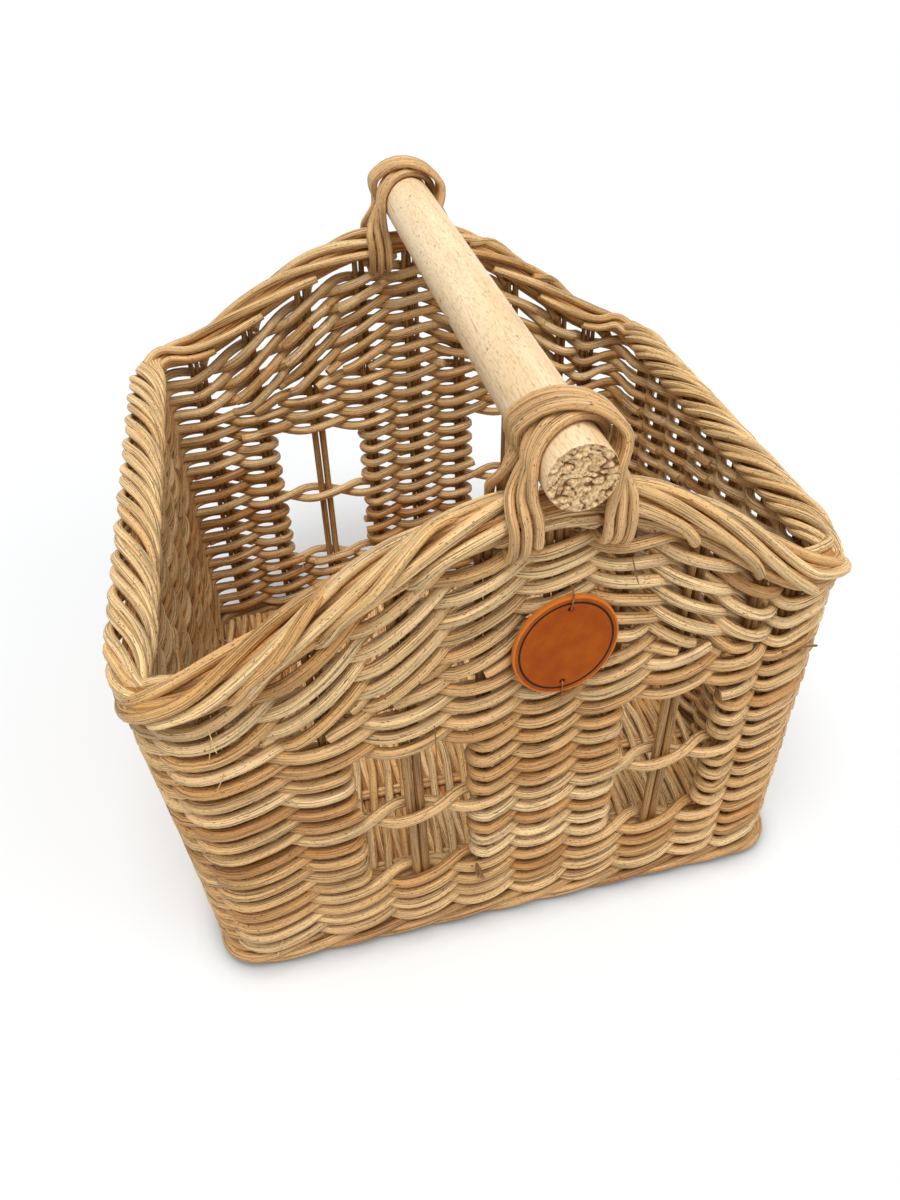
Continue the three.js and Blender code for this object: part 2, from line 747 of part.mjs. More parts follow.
// Least gap between stretches of the winding that don't follow each other directly
function leastGap(curve, diameter) {
  const samples = 900;
  const points = curve.getSpacedPoints(samples);
  const apart = Math.ceil((3 * diameter) / (curve.getLength() / samples));
  let least = Infinity;
  for (let i = 0; i < points.length; i += 1) {
    for (let j = i + apart; j < points.length; j += 1) {
      least = Math.min(least, points[i].distanceTo(points[j]));
    }
  }
  return least - diameter;
}

[0, 2].forEach((wall) => {
  const curve = new THREE.CatmullRomCurve3(lashingRoute(wall), false, 'centripetal');
  curve.arcLengthDivisions = 2000;
  const steps = LASHING_STEPS * LASHING_PAIRS * 2;
  const winding = tube(curve, steps, LASHING_RADIUS, LASHING_SIDES);
  const gap = leastGap(curve, LASHING_DIAMETER);
  console.log(`${WALLS[wall]} lashing: least gap to itself ${gap.toFixed(2)} mm`);
  addPiece(`${WALLS[wall]}_lashing`, winding.geometry, 'lashing');
});

// Leather tag, an oval disc tied flat against the front wall, in the wall's own plane
const tagStation = stationFromPole(0, TAG_SHIFT);
const tagCentre = wallPoint(tagStation, TAG_Z, WALL_THICKNESS / 2 + TAG_GAP);
const tagAbove = wallPoint(tagStation, TAG_Z + 1, WALL_THICKNESS / 2 + TAG_GAP);
const tagPlan = planAt(tagStation, TAG_Z);
const tagRight = new THREE.Vector3(tagPlan.along.x, tagPlan.along.y, 0);
const tagUp = tagAbove.clone().sub(tagCentre).normalize();
const tagOut = tagRight.clone().cross(tagUp).normalize();
const tagFrame = new THREE.Matrix4().makeBasis(tagRight, tagOut.clone().cross(tagRight), tagOut);
tagFrame.setPosition(tagCentre);

const tagShape = new THREE.Shape();
tagShape.absellipse(0, 0, TAG_WIDTH / 2, TAG_HEIGHT / 2, 0, 2 * Math.PI, false, 0);
[-1, 1].forEach((side) => {
  const hole = new THREE.Path();
  hole.absarc(0, (side * TAG_HOLE_SPACING) / 2, TAG_HOLE_DIAMETER / 2, 0, 2 * Math.PI, true);
  tagShape.holes.push(hole);
});
const tag = new THREE.ExtrudeGeometry(tagShape, {
  depth: TAG_THICKNESS,
  bevelEnabled: false,
  curveSegments: 20,
});
addPiece('leather_tag', tag, 'leather').applyMatrix4(tagFrame);

// Wire ties: out of the weave, over the edge of the tag and down through its hole
[-1, 1].forEach((side) => {
  const hole = (side * TAG_HOLE_SPACING) / 2;
  const edge = (side * TAG_HEIGHT) / 2;
  const front = TAG_THICKNESS + TIE_DIAMETER;
  const seat = SEAT_GAP - TAG_GAP;
  const route = [
    [edge + side * TIE_REACH, seat],
    [edge + side * (TIE_REACH - TIE_DIAMETER / 2), TIE_DIAMETER],
    [edge + side * TIE_DIAMETER * 1.5, front],
    [(edge + hole) / 2, front],
    [hole + side * TIE_DIAMETER * 0.6, front],
    [hole, TAG_THICKNESS / 2],
    [hole, seat],
  ].map(([y, out]) => new THREE.Vector3(0, y, out));
  const wire = tube(new THREE.CatmullRomCurve3(route, false, 'centripetal'), 16, TIE_DIAMETER / 2, 6);
  addPiece(`tag_tie_${side > 0 ? 'upper' : 'lower'}`, wire.geometry, 'wire').applyMatrix4(tagFrame);
});

// The origin is at the middle of the object's box, on the surface that it stands on
const size = new THREE.Box3().setFromObject(group);
group.position.set(-(size.min.x + size.max.x) / 2, -(size.min.y + size.max.y) / 2, -size.min.z);
group.updateMatrixWorld(true);

export default group;
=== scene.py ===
"""Looks of a hand-woven rattan basket shaped like a small house.

Every cane of the walls, borders and base is its own swept length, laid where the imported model
has the plain panel, bar or rim that it stands for. Metres, +Z up, front wall facing -Y.
"""
import logging
import math
import random
from dataclasses import dataclass, field
from enum import Enum
from functools import partial
from typing import Any, Callable, Sequence

import bmesh
import bpy
import numpy as np
from mathutils import Matrix, Vector, noise


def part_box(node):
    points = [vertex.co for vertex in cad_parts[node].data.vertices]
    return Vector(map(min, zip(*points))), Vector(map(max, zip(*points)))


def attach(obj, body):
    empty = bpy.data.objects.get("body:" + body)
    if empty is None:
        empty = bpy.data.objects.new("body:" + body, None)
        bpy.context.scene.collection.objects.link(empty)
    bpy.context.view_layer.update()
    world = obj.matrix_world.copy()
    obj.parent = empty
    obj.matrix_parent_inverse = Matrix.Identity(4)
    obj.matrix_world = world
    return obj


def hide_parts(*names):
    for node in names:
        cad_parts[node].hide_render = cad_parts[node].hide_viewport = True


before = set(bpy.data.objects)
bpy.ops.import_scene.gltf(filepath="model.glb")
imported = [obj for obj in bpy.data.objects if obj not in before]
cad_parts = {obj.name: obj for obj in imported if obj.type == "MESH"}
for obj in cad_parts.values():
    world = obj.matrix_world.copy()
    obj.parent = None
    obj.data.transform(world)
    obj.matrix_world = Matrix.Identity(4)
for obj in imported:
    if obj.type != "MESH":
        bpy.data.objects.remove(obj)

LOG = logging.getLogger("basket")
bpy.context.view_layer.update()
BODY = "root"
TURN = 2 * math.pi
MILLIMETRES = 1000
NOISE_GAIN = 1.6
SEED_SPREAD = (7.31, 3.17)
CORE_TONE = 0.1

Socket = bpy.types.NodeSocket
Colour = tuple[float, float, float, float]
Point = tuple[float, float, float]
Level = Callable[[float], float]


class Wall(Enum):
    """The four walls, counterclockwise seen from above."""

    FRONT = 0
    RIGHT = 1
    BACK = 2
    LEFT = 3


def srgb(red: int, green: int, blue: int) -> Colour:
    """Turn a colour as it shows on a screen into the linear one that shaders take.

    Args:
        red: Red from 0 to 255.
        green: Green from 0 to 255.
        blue: Blue from 0 to 255.

    Returns:
        The linear colour with an alpha of 1.
    """
    linear = []
    for value in (red, green, blue):
        share = value / 255
        linear.append(share / 12.92 if share <= 0.04045 else ((share + 0.055) / 1.055) ** 2.4)
    return (*linear, 1.0)


def smoothstep(low: float, high: float, value: float) -> float:
    """Rise smoothly from 0 at low to 1 at high."""
    share = min(max((value - low) / (high - low), 0.0), 1.0)
    return share * share * (3 - 2 * share)


def drift(seed: float, along: float, size: float) -> float:
    """Slow wander of hand work, from -size to size.

    Args:
        seed: Number that tells one wander from another.
        along: Place on the work, in steps of the wander.
        size: Largest wander.

    Returns:
        The wander at that place.
    """
    return size * NOISE_GAIN * noise.noise(Vector((along, seed * SEED_SPREAD[0], seed * SEED_SPREAD[1])))


def fresh_seed(rng: random.Random) -> float:
    """Draw the number that tells a cane's wander from the others'."""
    return rng.uniform(0, 90)


def flat(z: float) -> Level:
    """Give the level of a row that stays at one height."""
    return lambda _: z


@dataclass(frozen=True)
class Plan:
    """Where the walls stand. A ring place runs from 0 to 4, one unit for each wall.

    A whole ring place is the middle of a corner, and the bend takes corner_share on each side.
    A gable's slope is taken over slope_step each way, with unit_share of the rim's width for a unit.
    """

    foot_width: float = 0.374
    foot_depth: float = 0.340
    foot_shift: float = 0.004
    rim_width: float = 0.382
    rim_depth: float = 0.360
    corner_radius: float = 0.024
    front_left_drift: tuple[float, float] = (-0.010, -0.006)
    front_right_drift: tuple[float, float] = (0.0, 0.016)
    side_rim_z: float = 0.256
    gable_rise: float = 0.0765
    gable_shape: float = 1.5
    rim_height: float = 0.022
    pole_offset: float = 0.007
    corner_share: float = 0.055
    slope_step: float = 0.01
    unit_share: float = 0.95
    origin: tuple[float, float] = (0.0, 0.0)

    @property
    def peak_z(self) -> float:
        """Height of the middle of the rim at the peaks."""
        return self.side_rim_z + self.gable_rise

    def corner(self, index: int, z: float) -> Vector:
        """Give the sharp corner of two walls' lines.

        Args:
            index: Corner that the wall of the same number starts from.
            z: Height.

        Returns:
            The corner in plan.
        """
        signs = ((-1, -1), (1, -1), (1, 1), (-1, 1))[index % 4]
        strays = (self.front_left_drift, self.front_right_drift, (0.0, 0.0), (0.0, 0.0))[index % 4]
        foot = Vector((signs[0] * self.foot_width / 2 + self.foot_shift, signs[1] * self.foot_depth / 2))
        rim = Vector((signs[0] * self.rim_width / 2 + strays[0], signs[1] * self.rim_depth / 2 + strays[1]))
        return foot.lerp(rim, z / self.side_rim_z)

    def span(self, wall: int, z: float) -> tuple[Vector, Vector, Vector]:
        """Give the straight part of a wall between its bends.

        Args:
            wall: Number of the wall.
            z: Height.

        Returns:
            Its start, its end and the direction from one to the other, in plan.
        """
        start = self.corner(wall, z)
        end = self.corner(wall + 1, z)
        along = (end - start).normalized()
        return start + along * self.corner_radius, end - along * self.corner_radius, along

    def place(self, ring: float, z: float) -> tuple[Vector, Vector]:
        """Give the middle of the wall at a ring place.

        Args:
            ring: Ring place.
            z: Height.

        Returns:
            The point and the direction along the wall, in plan.
        """
        wall = math.floor(ring)
        share = ring - wall
        bend = self.corner_share
        if bend <= share <= 1 - bend:
            start, end, along = self.span(wall % 4, z)
            return start.lerp(end, (share - bend) / (1 - 2 * bend)), along
        before = (wall - 1) % 4 if share < bend else wall % 4
        turn = (share + bend) / (2 * bend) if share < bend else (share - 1 + bend) / (2 * bend)
        _, start, along_in = self.span(before, z)
        end, _, along_out = self.span((before + 1) % 4, z)
        corner = self.corner(before + 1, z)
        point = start.lerp(corner, turn).lerp(corner.lerp(end, turn), turn)
        return point, along_in.lerp(along_out, turn).normalized()

    def at(self, ring: float, z: float, out: float = 0.0, side: float = 0.0) -> Vector:
        """Give a point on or beside the wall.

        Args:
            ring: Ring place.
            z: Height.
            out: Distance outwards from the middle of the weave.
            side: Distance along the wall, to the right seen from outside.

        Returns:
            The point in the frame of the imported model.
        """
        point, along = self.place(ring, z)
        outward = Vector((along.y, -along.x))
        spot = point + outward * out + along * side
        return Vector((spot.x + self.origin[0], spot.y + self.origin[1], z))

    def share_from_pole(self, wall: Wall, distance: float) -> float:
        """Share of a gable's straight part at a distance right of the pole, seen from outside."""
        start, end, _ = self.span(wall.value, self.peak_z)
        x = self.pole_offset + (distance if wall is Wall.FRONT else -distance)
        return (x - start.x) / (end.x - start.x)

    def from_pole(self, wall: Wall, distance: float) -> float:
        """Ring place at a distance right of the pole, seen from outside."""
        share = self.share_from_pole(wall, distance)
        return wall.value + self.corner_share + share * (1 - 2 * self.corner_share)

    def rim_z(self, ring: float) -> float:
        """Follow the middle of the rim: level at the sides, a smooth gable front and back.

        Args:
            ring: Ring place, on any lap.

        Returns:
            Its height.
        """
        ring = ring % 4
        wall = math.floor(ring)
        if wall % 2:
            return self.side_rim_z
        share = (ring - wall - self.corner_share) / (1 - 2 * self.corner_share)
        share = min(max(share, 0.0), 1.0)
        peak = self.share_from_pole(Wall(wall), 0.0)
        t = (peak - share) / peak if share < peak else (share - peak) / (1 - peak)
        return self.side_rim_z + self.gable_rise * (1 - t * t) ** self.gable_shape

    def stretch(self, ring: float) -> float:
        """How much taller the rim is, measured upright, than square to its slope."""
        run = 2 * self.slope_step * self.rim_width * self.unit_share
        slope = (self.rim_z(ring + self.slope_step) - self.rim_z(ring - self.slope_step)) / run
        return math.sqrt(1 + slope * slope)

    def underside(self, ring: float) -> float:
        """Height of the underside of the rim."""
        return self.rim_z(ring) - self.rim_height / 2 * self.stretch(ring)


def moved_plan() -> Plan:
    """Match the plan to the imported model, by the box of the pole.

    Returns:
        A plan with its own origin.
    """
    plain = Plan()
    low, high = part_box("handle_pole")
    front = plain.at(plain.from_pole(Wall.FRONT, 0.0), plain.peak_z).y - HandlePole.front_overhang
    back = plain.at(plain.from_pole(Wall.BACK, 0.0), plain.peak_z).y + HandlePole.back_overhang
    centre = (low + high) / 2
    return Plan(origin=(centre.x - plain.pole_offset, centre.y - (front + back) / 2))


@dataclass(frozen=True)
class Cane:
    """One length of cane: the points that it follows, its radius and its tone.

    Tone runs from 0, orange brown, to 1, pale straw. ends are the shares of the radius that
    are left at the first and last point.
    """

    points: Sequence[Vector]
    radius: float
    tone: float
    ends: tuple[float, float] = (0.88, 0.88)
    wobble: float = 0.035


@dataclass
class Bundle:
    """Canes that make one piece, swept by a bevelled curve and closed at their cut ends.

    wander_step is how fast a cane's thickness wanders from point to point, and grain_step sets
    the grain of each cane apart from the one before.
    """

    name: str
    bevel: int = 2
    wander_step: float = 0.23
    grain_step: float = 0.37
    canes: list[Cane] = field(default_factory=list)

    @property
    def sides(self) -> int:
        """Number of sides of each cane."""
        return 4 + 2 * self.bevel

    def add(self, points: Sequence[Vector], radius: float, tone: float, **options: Any) -> None:
        """Add a cane.

        Args:
            points: Points that it follows.
            radius: Its radius.
            tone: Its tone.
            **options: Further fields of Cane.
        """
        self.canes.append(Cane(points, radius, tone, **options))

    def sweep(self) -> bpy.types.Mesh:
        """Sweep all canes at once.

        Returns:
            The mesh, with the two cut ends of each cane still loose from its side.
        """
        curve = bpy.data.curves.new(self.name, "CURVE")
        curve.dimensions = "3D"
        curve.twist_mode = "MINIMUM"
        curve.bevel_depth = 1.0
        curve.bevel_resolution = self.bevel
        curve.use_fill_caps = True
        for number, cane in enumerate(self.canes):
            spline = curve.splines.new("POLY")
            spline.points.add(len(cane.points) - 1)
            spline.points.foreach_set("co", [x for p in cane.points for x in (*p, 1.0)])
            wander = [drift(number, i * self.wander_step, cane.wobble) for i in range(len(cane.points))]
            radii = [cane.radius * (1 + change) for change in wander]
            radii[0] *= cane.ends[0]
            radii[-1] *= cane.ends[1]
            spline.points.foreach_set("radius", radii)
            spline.use_smooth = True
        return mesh_of(curve)

    def mark(self, mesh: bpy.types.Mesh) -> None:
        """Write where each vertex lies on its cane, for the grain.

        The sweep puts the cut ends first, last cane first, and then the rings in order.

        Args:
            mesh: Mesh that sweep returned.
        """
        around = [TURN * (k + 1) / self.sides for k in range(self.sides)]
        circle = np.array([(math.cos(a), math.sin(a)) for a in around])
        blocks: list[np.ndarray] = []
        caps: list[np.ndarray] = []
        for number, cane in enumerate(self.canes):
            steps = [(b - a).length for a, b in zip(cane.points, cane.points[1:])]
            along = np.concatenate([[0.0], np.cumsum(steps)]) + self.grain_step * number
            rings = np.zeros((len(along), self.sides, 4))
            rings[:, :, 0:2] = circle * cane.radius * MILLIMETRES
            rings[:, :, 2] = along[:, None]
            rings[:, :, 3] = cane.tone
            blocks.append(rings.reshape(-1, 4))
            caps.insert(0, np.concatenate([rings[-1], rings[0]]))
        values = np.concatenate(caps + blocks)
        if len(values) != len(mesh.vertices):
            raise ValueError(f"{self.name}: {len(mesh.vertices)} vertices, not {len(values)}")
        grain = mesh.attributes.new("cane", "FLOAT_VECTOR", "POINT")
        grain.data.foreach_set("vector", values[:, :3].astype(np.float32).ravel())
        tone = mesh.attributes.new("tone", "FLOAT", "POINT")
        tone.data.foreach_set("value", values[:, 3].astype(np.float32))

    def build(self, material: bpy.types.Material) -> bpy.types.Object:
        """Sweep, mark and close the canes.

        Args:
            material: Finish of the piece.

        Returns:
            The finished object, at the origin.
        """
        mesh = self.sweep()
        self.mark(mesh)
        while mesh.uv_layers:
            mesh.uv_layers.remove(mesh.uv_layers[0])
        first_ring = 2 * self.sides * len(self.canes)
        work = bmesh.new()
        work.from_mesh(mesh)
        for face in work.faces:
            face.smooth = face.verts[0].index >= first_ring
        bmesh.ops.remove_doubles(work, verts=work.verts, dist=1e-7)
        for edge in work.edges:
            edge.smooth = len({face.smooth for face in edge.link_faces}) == 1
        bmesh.ops.recalc_face_normals(work, faces=work.faces)
        work.to_mesh(mesh)
        work.free()
        mesh.materials.clear()
        mesh.materials.append(material)
        return linked(self.name, mesh)


def linked(name: str, data: bpy.types.ID) -> bpy.types.Object:
    """Put a mesh, curve, camera or light in the scene as an object at the origin."""
    piece = bpy.data.objects.new(name, data)
    bpy.context.scene.collection.objects.link(piece)
    return piece


def mesh_of(curve: bpy.types.Curve) -> bpy.types.Mesh:
    """Turn a curve into a mesh and remove the curve.

    Args:
        curve: Finished curve, not yet in the scene.

    Returns:
        Its mesh.
    """
    holder = linked(curve.name, curve)
    layers = bpy.context.evaluated_depsgraph_get()
    mesh = bpy.data.meshes.new_from_object(holder.evaluated_get(layers))
    bpy.data.objects.remove(holder)
    bpy.data.curves.remove(curve)
    return mesh


def finish_piece(piece: bpy.types.Object, slot: str, *nodes: str) -> None:
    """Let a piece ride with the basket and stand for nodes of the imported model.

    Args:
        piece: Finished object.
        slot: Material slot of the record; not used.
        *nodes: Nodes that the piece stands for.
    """
    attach(piece, BODY)
    if nodes:
        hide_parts(*nodes)
    LOG.info("%s: %d faces", piece.name, len(piece.data.polygons))


def eased(points: Sequence[Vector]) -> list[Vector]:
    """Average each point of a path with its neighbours, but for its two ends."""
    middle = [(a + b * 2 + c) / 4 for a, b, c in zip(points, points[1:], points[2:])]
    return [points[0], *middle, points[-1]]


def curve_through(points: Sequence[Vector], step: float) -> list[Vector]:
    """Run a centripetal Catmull-Rom curve through points.

    Args:
        points: Points chosen for the route.
        step: Distance between the points that come back.

    Returns:
        Points along the curve.
    """
    first = points[0] * 2 - points[1]
    last = points[-1] * 2 - points[-2]
    padded = [first, *points, last]
    path: list[Vector] = []
    for p0, p1, p2, p3 in zip(padded, padded[1:], padded[2:], padded[3:]):
        t0 = 0.0
        t1 = t0 + (p1 - p0).length ** 0.5
        t2 = t1 + (p2 - p1).length ** 0.5
        t3 = t2 + (p3 - p2).length ** 0.5
        count = max(1, round((p2 - p1).length / step))
        for i in range(count):
            t = t1 + (t2 - t1) * i / count
            a1 = p0.lerp(p1, (t - t0) / (t1 - t0))
            a2 = p1.lerp(p2, (t - t1) / (t2 - t1))
            a3 = p2.lerp(p3, (t - t2) / (t3 - t2))
            b1 = a1.lerp(a2, (t - t0) / (t2 - t0))
            b2 = a2.lerp(a3, (t - t1) / (t3 - t1))
            path.append(b1.lerp(b2, (t - t1) / (t2 - t1)))
    path.append(points[-1].copy())
    return path


class Tree:
    """Short way to place and join shader nodes."""

    def __init__(self, tree: bpy.types.NodeTree) -> None:
        """Start from an empty tree."""
        self.tree = tree
        tree.nodes.clear()

    def add(self, kind: str, inputs: dict[str | int, Any] | None = None, **settings: Any) -> bpy.types.Node:
        """Place a node.

        Args:
            kind: Type of the node, without the leading ShaderNode where it has one.
            inputs: Values or output sockets for its inputs.
            **settings: Properties of the node.

        Returns:
            The node.
        """
        full = kind if kind.startswith("NodeGroup") else f"ShaderNode{kind}"
        node = self.tree.nodes.new(full)
        for key, value in settings.items():
            setattr(node, key, value)
        for key, value in (inputs or {}).items():
            if isinstance(value, Socket):
                self.tree.links.new(value, node.inputs[key])
            else:
                node.inputs[key].default_value = value
        return node

    def ramp(self, value: Socket, stops: Sequence[tuple[float, Any]]) -> Socket:
        """Place a colour ramp.

        Args:
            value: Socket that drives the ramp.
            stops: Positions and colours, or positions and greys.

        Returns:
            The colour socket of the ramp.
        """
        node = self.add("ValToRGB", {0: value})
        elements = node.color_ramp.elements
        while len(elements) < len(stops):
            elements.new(0.5)
        for element, (position, colour) in zip(elements, stops):
            element.position = position
            element.color = colour if isinstance(colour, tuple) else (colour, colour, colour, 1.0)
        return node.outputs[0]

    def mix(self, share: Any, first: Any, second: Any, blend: str = "MIX") -> Socket:
        """Mix two colours by a share and give the colour socket."""
        inputs = {0: share, 6: first, 7: second}
        return self.add("Mix", inputs, data_type="RGBA", blend_type=blend).outputs[2]

    def math(self, operation: str, first: Any, second: Any = 0.0) -> Socket:
        """Work out one number from two and give its socket."""
        return self.add("Math", {0: first, 1: second}, operation=operation).outputs[0]

    def grain(self, place: Socket, scale: Point, detail: float, rough: float = 0.5) -> Socket:
        """Place a noise that may be finer along one axis than along another.

        Args:
            place: Vector socket that it reads.
            scale: Its scale along each axis.
            detail: Number of its finer layers.
            rough: How strong they are.

        Returns:
            The value socket of the noise.
        """
        spread = self.add("VectorMath", {0: place, 1: scale}, operation="MULTIPLY").outputs[0]
        inputs = {"Vector": spread, "Scale": 1.0, "Detail": detail, "Roughness": rough}
        return self.add("TexNoise", inputs).outputs["Fac"]

    def bump(self, height: Socket, strength: float, distance: float) -> Socket:
        """Place a bump and give its normal socket."""
        inputs = {"Height": height, "Strength": strength, "Distance": distance}
        return self.add("Bump", inputs).outputs[0]

    def surface(self, inputs: dict[str, Any]) -> None:
        """Place the shader of a solid finish and join it to the output."""
        shader = self.add("BsdfPrincipled", inputs)
        self.add("OutputMaterial", {0: shader.outputs[0]})


def new_material(name: str) -> tuple[bpy.types.Material, Tree]:
    """Make a material and the empty tree of its nodes."""
    material = bpy.data.materials.new(name)
    material.use_nodes = True
    return material, Tree(material.node_tree)


def fibre_group() -> bpy.types.NodeTree:
    """Build the grain of cane: long streaks, slow changes of tone and small dark specks.

    Returns:
        A node group that reads where a point lies on its cane.
    """
    group = bpy.data.node_groups.new("cane_fibre", "ShaderNodeTree")
    for way, kind, names in (
        ("INPUT", "NodeSocketColor", ("Brown", "Tan", "Straw")),
        ("INPUT", "NodeSocketFloat", ("Streaks", "Specks")),
        ("OUTPUT", "NodeSocketColor", ("Color",)),
        ("OUTPUT", "NodeSocketFloat", ("Roughness", "Height")),
    ):
        for name in names:
            group.interface.new_socket(name=name, in_out=way, socket_type=kind)
    tree = Tree(group)
    given = tree.add("NodeGroupInput").outputs
    place = tree.add("Attribute", attribute_name="cane").outputs["Vector"]
    tone = tree.add("Attribute", attribute_name="tone").outputs["Fac"]
    slow = tree.grain(place, (0.06, 0.06, 9.0), 2.0, 0.6)
    wide = tree.grain(place, (0.5, 0.5, 12.0), 3.0, 0.6)
    fine = tree.grain(place, (1.7, 1.7, 22.0), 4.0, 0.62)
    dots = tree.grain(place, (2.0, 2.0, 470.0), 0.8, 0.6)
    shifted = tree.math("ADD", tone, tree.math("MULTIPLY", tree.math("SUBTRACT", slow, 0.5), 0.75))
    warm = tree.mix(tree.ramp(shifted, ((0.05, 0.0), (0.5, 1.0))), given["Brown"], given["Tan"])
    base = tree.mix(tree.ramp(shifted, ((0.45, 0.0), (1.0, 1.0))), warm, given["Straw"])
    bands = tree.ramp(wide, ((0.34, 0.6), (0.5, 0.98), (0.66, 1.12)))
    banded = tree.mix(tree.math("MULTIPLY", given["Streaks"], 0.9), base, bands, "MULTIPLY")
    lines = tree.ramp(fine, ((0.37, 0.2), (0.47, 0.92), (0.6, 1.28)))
    lined = tree.mix(given["Streaks"], banded, lines, "MULTIPLY")
    marks = tree.math("MULTIPLY", tree.ramp(dots, ((0.655, 0.0), (0.69, 1.0))), given["Specks"])
    speckled = tree.mix(marks, lined, srgb(84, 50, 26))
    rough = tree.math("ADD", tree.math("MULTIPLY", fine, -0.3), 0.64)
    height = tree.math("SUBTRACT", tree.math("ADD", fine, tree.math("MULTIPLY", wide, 0.8)), marks)
    tree.add("NodeGroupOutput", {"Color": speckled, "Roughness": rough, "Height": height})
    return group


@dataclass(frozen=True)
class CaneFinish:
    """Look of one kind of cane."""

    name: str
    brown: Colour
    tan: Colour
    straw: Colour
    streaks: float = 0.9
    specks: float = 0.9
    bump: float = 0.4

    def material(self, group: bpy.types.NodeTree) -> bpy.types.Material:
        """Make the material.

        Args:
            group: The grain that all canes share.

        Returns:
            The material.
        """
        material, tree = new_material(self.name)
        inputs = {"Brown": self.brown, "Tan": self.tan, "Straw": self.straw,
                  "Streaks": self.streaks, "Specks": self.specks}
        fibre = tree.add("Group", inputs, node_tree=group).outputs
        tree.surface({
            "Base Color": fibre["Color"],
            "Roughness": fibre["Roughness"],
            "Normal": tree.bump(fibre["Height"], self.bump, 0.0004),
            "Specular IOR Level": 0.38,
        })
        return material


WEAVE_CANE = CaneFinish("weave_cane", srgb(170, 114, 56), srgb(202, 155, 96), srgb(228, 193, 141))
STAKE_CANE = CaneFinish("stake_cane", srgb(128, 84, 40), srgb(160, 116, 64), srgb(184, 142, 90), 0.85)
BORDER_CANE = CaneFinish("border_cane", srgb(170, 112, 54), srgb(202, 154, 92), srgb(228, 191, 136), 0.94)
FOOT_CANE = CaneFinish("foot_cane", srgb(152, 104, 56), srgb(180, 136, 84), srgb(200, 160, 108))
# Base canes are paler than the wall canes: painted light that makes up for the shade that the walls cast on
# the base.
LIGHT_LIFTED_BASE_CANE = CaneFinish("base_cane", srgb(198, 140, 78), srgb(232, 185, 122), srgb(245, 210, 155))
LASHING_CANE = CaneFinish("lashing_cane", srgb(176, 124, 68), srgb(206, 162, 108), srgb(222, 186, 134), 0.8)


def stock_tone(rng: random.Random) -> float:
    """Draw the next cane off the pile: mostly tan, some straw, a few orange brown.

    Args:
        rng: Source of the draw.

    Returns:
        Tone of the cane.
    """
    kind = rng.random()
    if kind < 0.07:
        return rng.uniform(0.14, 0.38)
    if kind < 0.72:
        return rng.uniform(0.42, 0.74)
    return rng.uniform(0.76, 1.05)


def rim_tone(rng: random.Random) -> float:
    """Tone of a cane picked for a rim: the paler part of the pile."""
    return max(stock_tone(rng), rng.uniform(0.3, 1.0))


@dataclass
class Part:
    """One kind of piece of the basket: the plan that it follows and the finish that it gets."""

    plan: Plan
    material: bpy.types.Material


class StakeKind(Enum):
    """How many canes stand together in a stake, and their radius."""

    PLAIN = (3, 0.00205)
    EDGE = (2, 0.0023)
    MULLION = (2, 0.0029)


GABLE_KINDS = (StakeKind.PLAIN, StakeKind.EDGE, StakeKind.MULLION, StakeKind.EDGE, StakeKind.PLAIN,
               StakeKind.EDGE, StakeKind.MULLION, StakeKind.EDGE, StakeKind.PLAIN)


